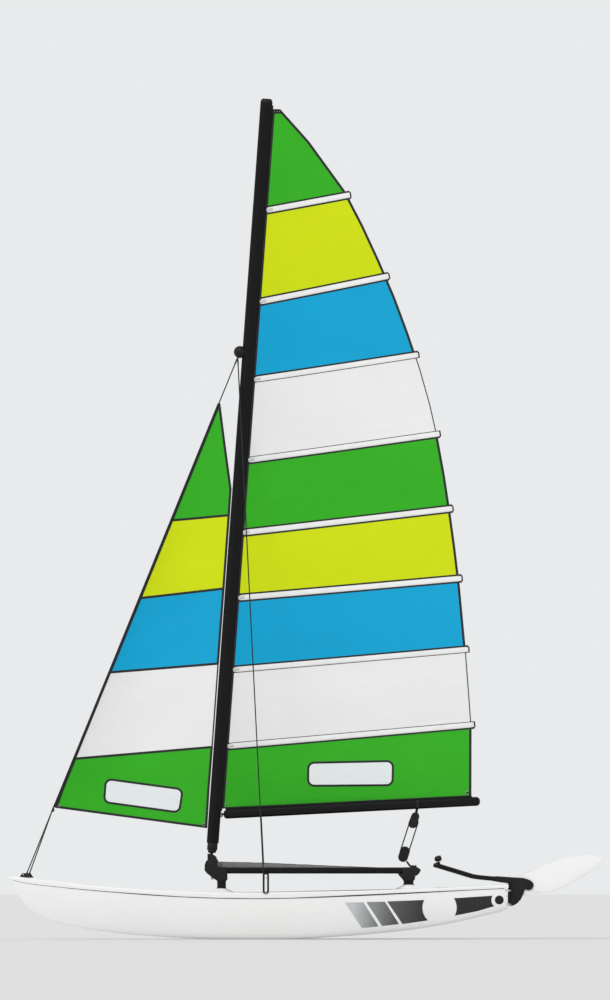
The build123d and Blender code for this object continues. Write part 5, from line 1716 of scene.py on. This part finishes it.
tang = P(2343, 0, 5963)
apex = P(445, 0, 1326)
top = tang + (apex - tang).normalized() * 0.0615
ex = [prism_mesh("p", [(432, 1292), (450, 1290), (459, 1300), (459, 1318), (452, 1333), (440, 1333), (431, 1318)], -3.0, 3.0, M["dark_steel"], bevel=1.4, seg=3)]
ex += bolt(P(447, 3.0, 1323), (0, 1, 0), 0.0052, 0.0042, M["dark_steel"]) + bolt(P(447, -3.0, 1323), (0, -1, 0), 0.0052, 0.0042, M["dark_steel"])
stay("forestay_wire", apex, top, 0.0062, "forestay", 0.055, 0.075, ex)
for tag, s in (("port", 1), ("starboard", -1)):
    low, high = P(188, s * 1085, 652), P(443, s * 7, 1320)
    d = (high - low).normalized()
    ex = shackle(P(178, s * 1093, 655), (0, 1, 0), (low - P(178, s * 1093, 655)) + d * 0.01, 0.013, 0.0028, M["dark_steel"])
    ex += [ring_eye("t", high - d * 0.004, (0.3, s * 0.2, 1), 0.0085, 0.0026, M["steel"], 22, 8)]
    stay("bridle_wire_" + tag, low, high, 0.0062, "bridle_" + tag, 0.06, 0.06, ex)
    low = P(2585, s * 1202.5, 668)
    fore = P(2318, 0, 5963)
    high = fore + (low - fore).normalized() * 0.0625
    d = (high - low).normalized()
    ex = shackle(P(2586, s * 1203.0, 662), (1, 0, 0), d, 0.0095, 0.0026, M["dark_steel"])
    # sleeve over the wire's lower end
    ex.append(lathe("g", [(0.0062, 0), (0.0076, 0.003), (0.0076, 0.49), (0.0063, 0.496)], low + d * 0.085, d, M["rubber"], 18))
    stay("shroud_wire_" + tag, low, high, 0.0062, "shroud_" + tag, 0.075, 0.075, ex)

    # adjuster: a long plate link with a row of pin holes each side
    y = s * 1206
    def arc(c, r, a0, a1, n):
        return [(c[0] + r * math.cos(math.radians(a0 + (a1 - a0) * k / n)), c[1] + r * math.sin(math.radians(a0 + (a1 - a0) * k / n))) for k in range(n + 1)]
    outer = arc((2607, 488.5), 30.5, 180, 360, 20) + arc((2629.5, 656), 8, 0, 90, 5) + arc((2584.5, 656), 8, 90, 180, 5)
    slot_in = arc((2607, 489.5), 14.5, 180, 360, 14) + arc((2615.5, 648), 6, 0, 90, 4) + arc((2598.5, 648), 6, 90, 180, 4)
    holes = [slot_in] + [arc((2607 + sx * 22.6, zz), 2.9, 0, 330, 11) for sx in (-1, 1) for zz in range(510, 640, 22)]
    v, f = flat_mesh(outer, holes, 12, 7)
    plate = new_mesh("a", [P(u, y, z) for u, z in v], f, M["dark_steel"], sharp=30)
    thicken(plate, 6.0)
    ex = [plate]
    for zz in (620, 478):
        ex.append(lathe("p", [(0.0003, -0.011), (0.0043, -0.0106), (0.0043, -0.0086), (0.0030, -0.0082), (0.0030, 0.0082), (0.0042, 0.0086), (0.0042, 0.0100), (0.0003, 0.0104)], P(2607, y, zz), (1, 0, 0), M["steel"], 16))
    o = join("shroud_adjuster_link_" + tag, ex, "root")
    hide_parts("shroud_adjuster_" + tag)
    # anchor pin on the hull's side
    name = "hull_port" if s > 0 else "hull_starboard"
    deck = "deck_port" if s > 0 else "deck_starboard"
    bits = []
    bits.append(lathe("p", [(0.0003, -0.030), (0.0044, -0.0298), (0.0044, 0.0031), (0.0078, 0.0032), (0.0078, 0.0040), (0.0050, 0.0044), (0.0003, 0.0044)], P(2607, y, 471), (0, s, 0), M["steel"], 20))
    o = join("shroud_anchor_pin_" + tag, bits, "root")

ex = []
for s in (1, -1):
    for u in (136, 218):
        ex.append(lathe("s", [(0.0046, -0.0002), (0.0044, 0.0014), (0.0028, 0.0020), (0.0024, 0.0012), (0.0001, 0.0011)], P(u, s * 1093 + 9.5 * s, 634), (0, 0, 1), M["steel"], 16))
        ex.append(lathe("s", [(0.0046, -0.0002), (0.0044, 0.0014), (0.0028, 0.0020), (0.0024, 0.0012), (0.0001, 0.0011)], P(u, s * 1093 - 9.5 * s, 634), (0, 0, 1), M["steel"], 16))
softened("bow_tang_plates", "bow_tangs", 1.0, M["dark_steel"], "root", seg=2, extra=ex)

# tang on the mast: a band round the mast at the tang
bits2 = [lathe("b", [(0.0618, -0.004), (0.0628, -0.0028), (0.0628, 0.0028), (0.0618, 0.004)], tang, (0.0725, 0, -0.997), M["cast"], 64)]

# ------------------------------------------------------------------ rudders
RUDDER_Y = 1062.0
PIVOT = (5190.0, 505.0)
BLADE_LE = [(5185, 566), (5163, 560), (5144, 545), (5132, 526), (5118, 470), (5119, 352), (5100, 318), (5088, 262), (5086, 200), (5094, 120), (5114, 20),
            (5144, -100), (5172, -195), (5200, -267), (5232, -330), (5262, -362)]
BLADE_TE = [(5185, 566), (5207, 564), (5250, 546), (5286, 534), (5318, 527), (5338, 380), (5360, 240), (5377, 109), (5381, 39), (5374, -80),
            (5353, -232), (5322, -312), (5290, -358), (5262, -362)]


def at_height(rows, z):
    for (u0, z0), (u1, z1) in zip(rows, rows[1:]):
        if z1 <= z <= z0:
            return u0 + (u1 - u0) * ((z0 - z) / (z0 - z1) if z0 != z1 else 0)
    return rows[-1][0]


def tiller_z(u):
    """Height of a tiller tube's centreline, as it comes down from the crossbar and runs into the rudder head."""
    return 751 - (u - 4328) * 121.0 / 397 if u < 4725 else 630 - (u - 4725) * 19.4 / 208


def kicked(u, y, z, deg=105.0):
    du, dz = u - PIVOT[0], z - PIVOT[1]
    c, s = math.cos(math.radians(deg)), math.sin(math.radians(deg))
    return P(PIVOT[0] + du * c - dz * s, y, PIVOT[1] + du * s + dz * c)


def foil(x):
    return max(0.0, 10 * (0.2969 * math.sqrt(x) - 0.1260 * x - 0.3516 * x * x + 0.2843 * x ** 3 - 0.1036 * x ** 4))


for tag, s in (("port", 1), ("starboard", -1)):
    y0 = s * RUDDER_Y
    rows = []
    n, m = 84, 26
    for i in range(n + 1):
        k = i / n
        z = 565.6 - (565.6 + 361.6) * (0.5 - 0.5 * math.cos(math.pi * (k * 0.94 + 0.03 * (1 if k > 0 else 0)))) if 0 < k < 1 else (565.6 if k == 0 else -361.6)
        u0, u1 = at_height(BLADE_LE, z), at_height(BLADE_TE, z)
        tip = smooth01((z + 362) / 260.0)
        flat = smooth01((z - 395) / 70.0)
        T = 10.0 * (0.30 + 0.70 * tip)
        row = []
        for half in (1, -1):
            for j in range(m + 1):
                if half < 0 and j in (0, m):
                    continue
                x = 0.5 - 0.5 * math.cos(math.pi * j / m)
                x = x if half > 0 else 1 - x
                h = T * foil(x) + 0.55
                e = min(x, 1 - x) * (u1 - u0)
                hf = 9.8 * math.sqrt(max(0.0, 1 - (1 - min(1.0, e / 7.0)) ** 2)) + 0.2
                h = h * (1 - flat) + hf * flat
                row.append(kicked(u0 + (u1 - u0) * x, y0 + half * h, z))
        rows.append(row)
    blade = grid("rudder_foil_" + tag, rows, M["gel"], closed_u=True, cap=True, sharp=55)
    fix_normals(blade)
    ride(blade, "blade_" + tag)
    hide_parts("rudder_blade_" + tag)

    ex = []
    for w in (1, -1):
        f = y0 + w * 27.0
        ex += [lathe("b", [(0.0145, 0), (0.0145, 0.0022), (0.0118, 0.0030), (0.0112, 0.0030), (0.0112, 0.0072), (0.0092, 0.0086), (0.0004, 0.0088)], P(PIVOT[0], f, PIVOT[1]), (0, w, 0), M["dark_steel"], 28)]
        for u, z in ((4962, 626), (5040, 610), (5130, 600), (5235, 585), (5112, 377), (5172, 428)):
            ex += bolt(P(u, f, z), (0, w, 0), 0.0052, 0.0042, M["dark_steel"], hexed=(w < 0))
        # raised web and rim that stiffen each cheek
        for path in ([(4968, 622), (5060, 606), (5150, 590), (5230, 575), (5278, 552)], [(5092, 570), (5092, 480), (5094, 400)]):
            ex.append(tube("r", smooth_path([P(u, f - w * 0.6, z) for u, z in path], 5), 0.0022, M["cast"], seg=8))
    ex.append(lathe("p", [(0.0050, 0), (0.0098, 0.0004), (0.0098, 0.0060), (0.0080, 0.0076), (0.0004, 0.0078)], P(5094, y0, 535), (0, 0, 1), M["steel"], 20))
    softened("rudder_head_" + tag, "rudder_casting_" + tag, 4.0, M["cast"], "rudder_" + tag, seg=3, extra=ex)
    softened("rudder_gudgeons_" + tag, "gudgeons_" + tag, 1.2, M["steel"], "root", seg=2, extra=
             [b for z in (352, 492) for dz in (-14, 10) for b in bolt(P(5026 + (516 - z) / 210.0 * 26 + 6.0, y0 + 11, z + dz), (-1, 0, 0), 0.0030, 0.0026, M["steel"], hexed=False)
              + bolt(P(5026 + (516 - z) / 210.0 * 26 + 6.0, y0 - 11, z + dz), (-1, 0, 0), 0.0030, 0.0026, M["steel"], hexed=False)])

    # tiller arm: one bent tube with end plug, boss and clamp
    path = [P(u, y0, tiller_z(u)) for u in (4332, 4430, 4560, 4660, 4698)] + [P(4728, y0, 632.6), P(4760, y0, 627.9)] + [P(u, y0, tiller_z(u)) for u in (4800, 4870, 4934)]
    ex = [tube("t", smooth_path(path, 5), 0.0220, M["spar"], seg=32)]
    d = (path[0] - path[1]).normalized()
    ex.append(lathe("t", [(0.0212, -0.016), (0.0229, -0.0145), (0.0229, 0.002), (0.0212, 0.009), (0.0160, 0.0155), (0.0080, 0.0190), (0.0004, 0.0196)], path[0], d, M["black_plastic"], 32))
    ex.append(lathe("t", [(0.0215, 0), (0.0250, 0.001), (0.0250, 0.016), (0.0215, 0.0175)], P(4914, y0, tiller_z(4914)), (path[-1] - path[-2]), M["cast"], 32))
    bz = 747.8
    ex.append(lathe("t", [(0.0165, 0.012), (0.0165, 0.0235), (0.0130, 0.0255), (0.0130, 0.0330), (0.0120, 0.0342), (0.0004, 0.0345)], P(4356, y0, bz), (0, 0, 1), M["black_plastic"], 28))
    ex.append(lathe("t", [(0.0050, 0.030), (0.0050, 814 / 1000 + 0.019 - bz / 1000), (0.0004, 814 / 1000 + 0.020 - bz / 1000)], P(4356, y0, bz), (0, 0, 1), M["dark_steel"], 18) if s > 0 else
              lathe("t", [(0.0050, 0.030), (0.0050, 0.0352), (0.0004, 0.0354)], P(4356, y0, bz), (0, 0, 1), M["steel"], 18))
    for u in (4380, 4900):
        ex.append(rivet(P(u, y0 + 22 if u < 4800 else y0 + 21.9, tiller_z(u)), (0, 1, 0), 0.0040, M["dark_steel"]))
    o = join("tiller_arm_tube_" + tag, ex, "rudder_" + tag)
    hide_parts("tiller_arm_" + tag)

# crossbar with its moulded ends, and the extension carried on top of it
u, z = 4356.0, 814.0
ex = [tube("c", [P(u, -1062 + 2124 * k / 60, z) for k in range(61)], 0.0130, M["beam"], seg=28)]
for s in (1, -1):
    y0 = s * 1062
    prof = []
    for k in range(13):
        a = math.radians(-59.9 + 149.9 * k / 12)
        prof.append((0.0312 * math.cos(a), 0.0312 * math.sin(a)))
    ex.append(lathe("b", [(0.0004, prof[0][1])] + prof, P(u, y0, z), (0, 0, 1), M["black_plastic"], 40, sharp=50))
    ex.append(lathe("b", [(0.0152, 0), (0.0172, 0.002), (0.0172, 0.026), (0.0140, 0.030)], P(u, y0 - s * 22, z), (0, -s, 0), M["black_plastic"], 30))
    for k in range(3):
        ex.append(rivet(P(u, y0 - s * (70 + 26 * k), z + 13), (0, 0, 1), 0.0036, M["steel"]))
o = join("tiller_crossbar_tube", ex, "tiller_bar")
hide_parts("tiller_crossbar")
zx = z + 22.2
ex = [tube("e", [P(u + 14, -600 + 1240 * k / 40, zx) for k in range(41)], 0.0095, M["beam"], seg=24)]
rows = []
for k in range(97):
    y = -600 + 330 * k / 96
    r = 11.0 - (0.7 if (k % 6) in (0, 1) else 0.0) - (2.0 if k in (0, 96) else 0)
    rows.append((r / 1000.0, (y + 600) / 1000.0))
ex.append(lathe("e", rows, P(u + 14, -600, zx), (0, 1, 0), M["rubber"], 28, sharp=40))
ex.append(lathe("e", [(0.0095, 0), (0.0108, 0.002), (0.0108, 0.040), (0.0095, 0.043)], P(u + 14, 560, zx), (0, 1, 0), M["black_plastic"], 26))
ex.append(lathe("e", [(0.0004, -0.004), (0.0075, -0.003), (0.0108, 0), (0.0108, 0.020), (0.0095, 0.022)], P(u + 14, 636, zx), (0, -1, 0), M["black_plastic"], 26))
# rubber joint at the middle of the crossbar and a keeper at the port side
for yy in (0, 480):
    ex.append(bar_clip := prism_mesh("e", [(u - 15.5, z - 6), (u - 15.5, z + 9), (u - 9, z + 15.5), (u + 2, z + 17), (u + 2.5, zx + 7), (u + 8, zx + 11.5), (u + 20, zx + 11.5), (u + 25.6, zx + 6), (u + 25.6, zx - 6), (u + 18, zx - 12), (u + 15.5, z + 6), (u + 15.5, z - 6)], yy - 11, yy + 11, M["rubber"], bevel=1.6, seg=2))
o = join("tiller_extension_tube", ex, "tiller_bar")
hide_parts("tiller_extension")

# ------------------------------------------------------------------ jib sheet blocks and transom rings
bits = []
for s in (1, -1):
    y = s * 420.0
    for w in (1, -1):
        bits.append(prism_mesh("j", stadium((2058, 822), -8, 30, 19), y + w * 9.0, y + w * 12.4, M["black_plastic"], bevel=1.3, seg=2))
        bits += bolt(P(2058, y + w * 12.2, 828), (0, w, 0), 0.0050, 0.0030, M["dark_steel"], hexed=False)
    bits.append(lathe("j", [(0.0006, -0.008), (0.0165, -0.008), (0.0165, -0.0066), (0.0135, -0.002), (0.0132, 0), (0.0135, 0.002), (0.0165, 0.0066), (0.0165, 0.008), (0.0006, 0.008)], P(2058, y, 828), (0, 1, 0), M["black_plastic"], 36))
    bits.append(lathe("j", [(0.0185, -0.004), (0.0185, 0.003), (0.0110, 0.006), (0.0100, 0.010), (0.0004, 0.0105)], P(2058, y, 795.5), (0, 0, 1), M["dark_steel"], 30))
o = join("jib_sheet_blocks", bits, "root")
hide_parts("jib_blocks")
bits = []
for s in (1, -1):
    mouth = 5026 + (516 - 425.0) / 210.0 * 26
    ax = Vector((-210, 0, -26)).normalized()
    bits.append(ring_eye("d", P(mouth + 0.6, s * 1112, 425), ax, 0.0135, 0.0022, M["steel"], 36, 10))
o = join("drain_rims", bits, "root")
bits = bits2
o = join("mast_tang_band", bits, "mast")


for tag in ("port", "starboard"):
    softened("deck_moulding_" + tag, "deck_" + tag, 4.0, M["gel"], "root", seg=3, angle=35)

# CAD pieces whose shape is right keep it, with a material of their own
KEEP = {
    "front_pylons": "beam",
    "rear_pylons": "beam",
    "front_crossbar": "beam",
    "rear_crossbar": "beam",
    "side_rail_port": "spar",
    "side_rail_starboard": "spar",
    "dolphin_striker": "steel",
    "mast": "mast",
    "mast_tang": "cast",
    "traveller_track": "steel",
    "hull_port": "gel",
    "hull_starboard": "gel",
}
for n, key in KEEP.items():
    o = NODES[n]
    o.data.materials.clear()
    o.data.materials.append(M[key])
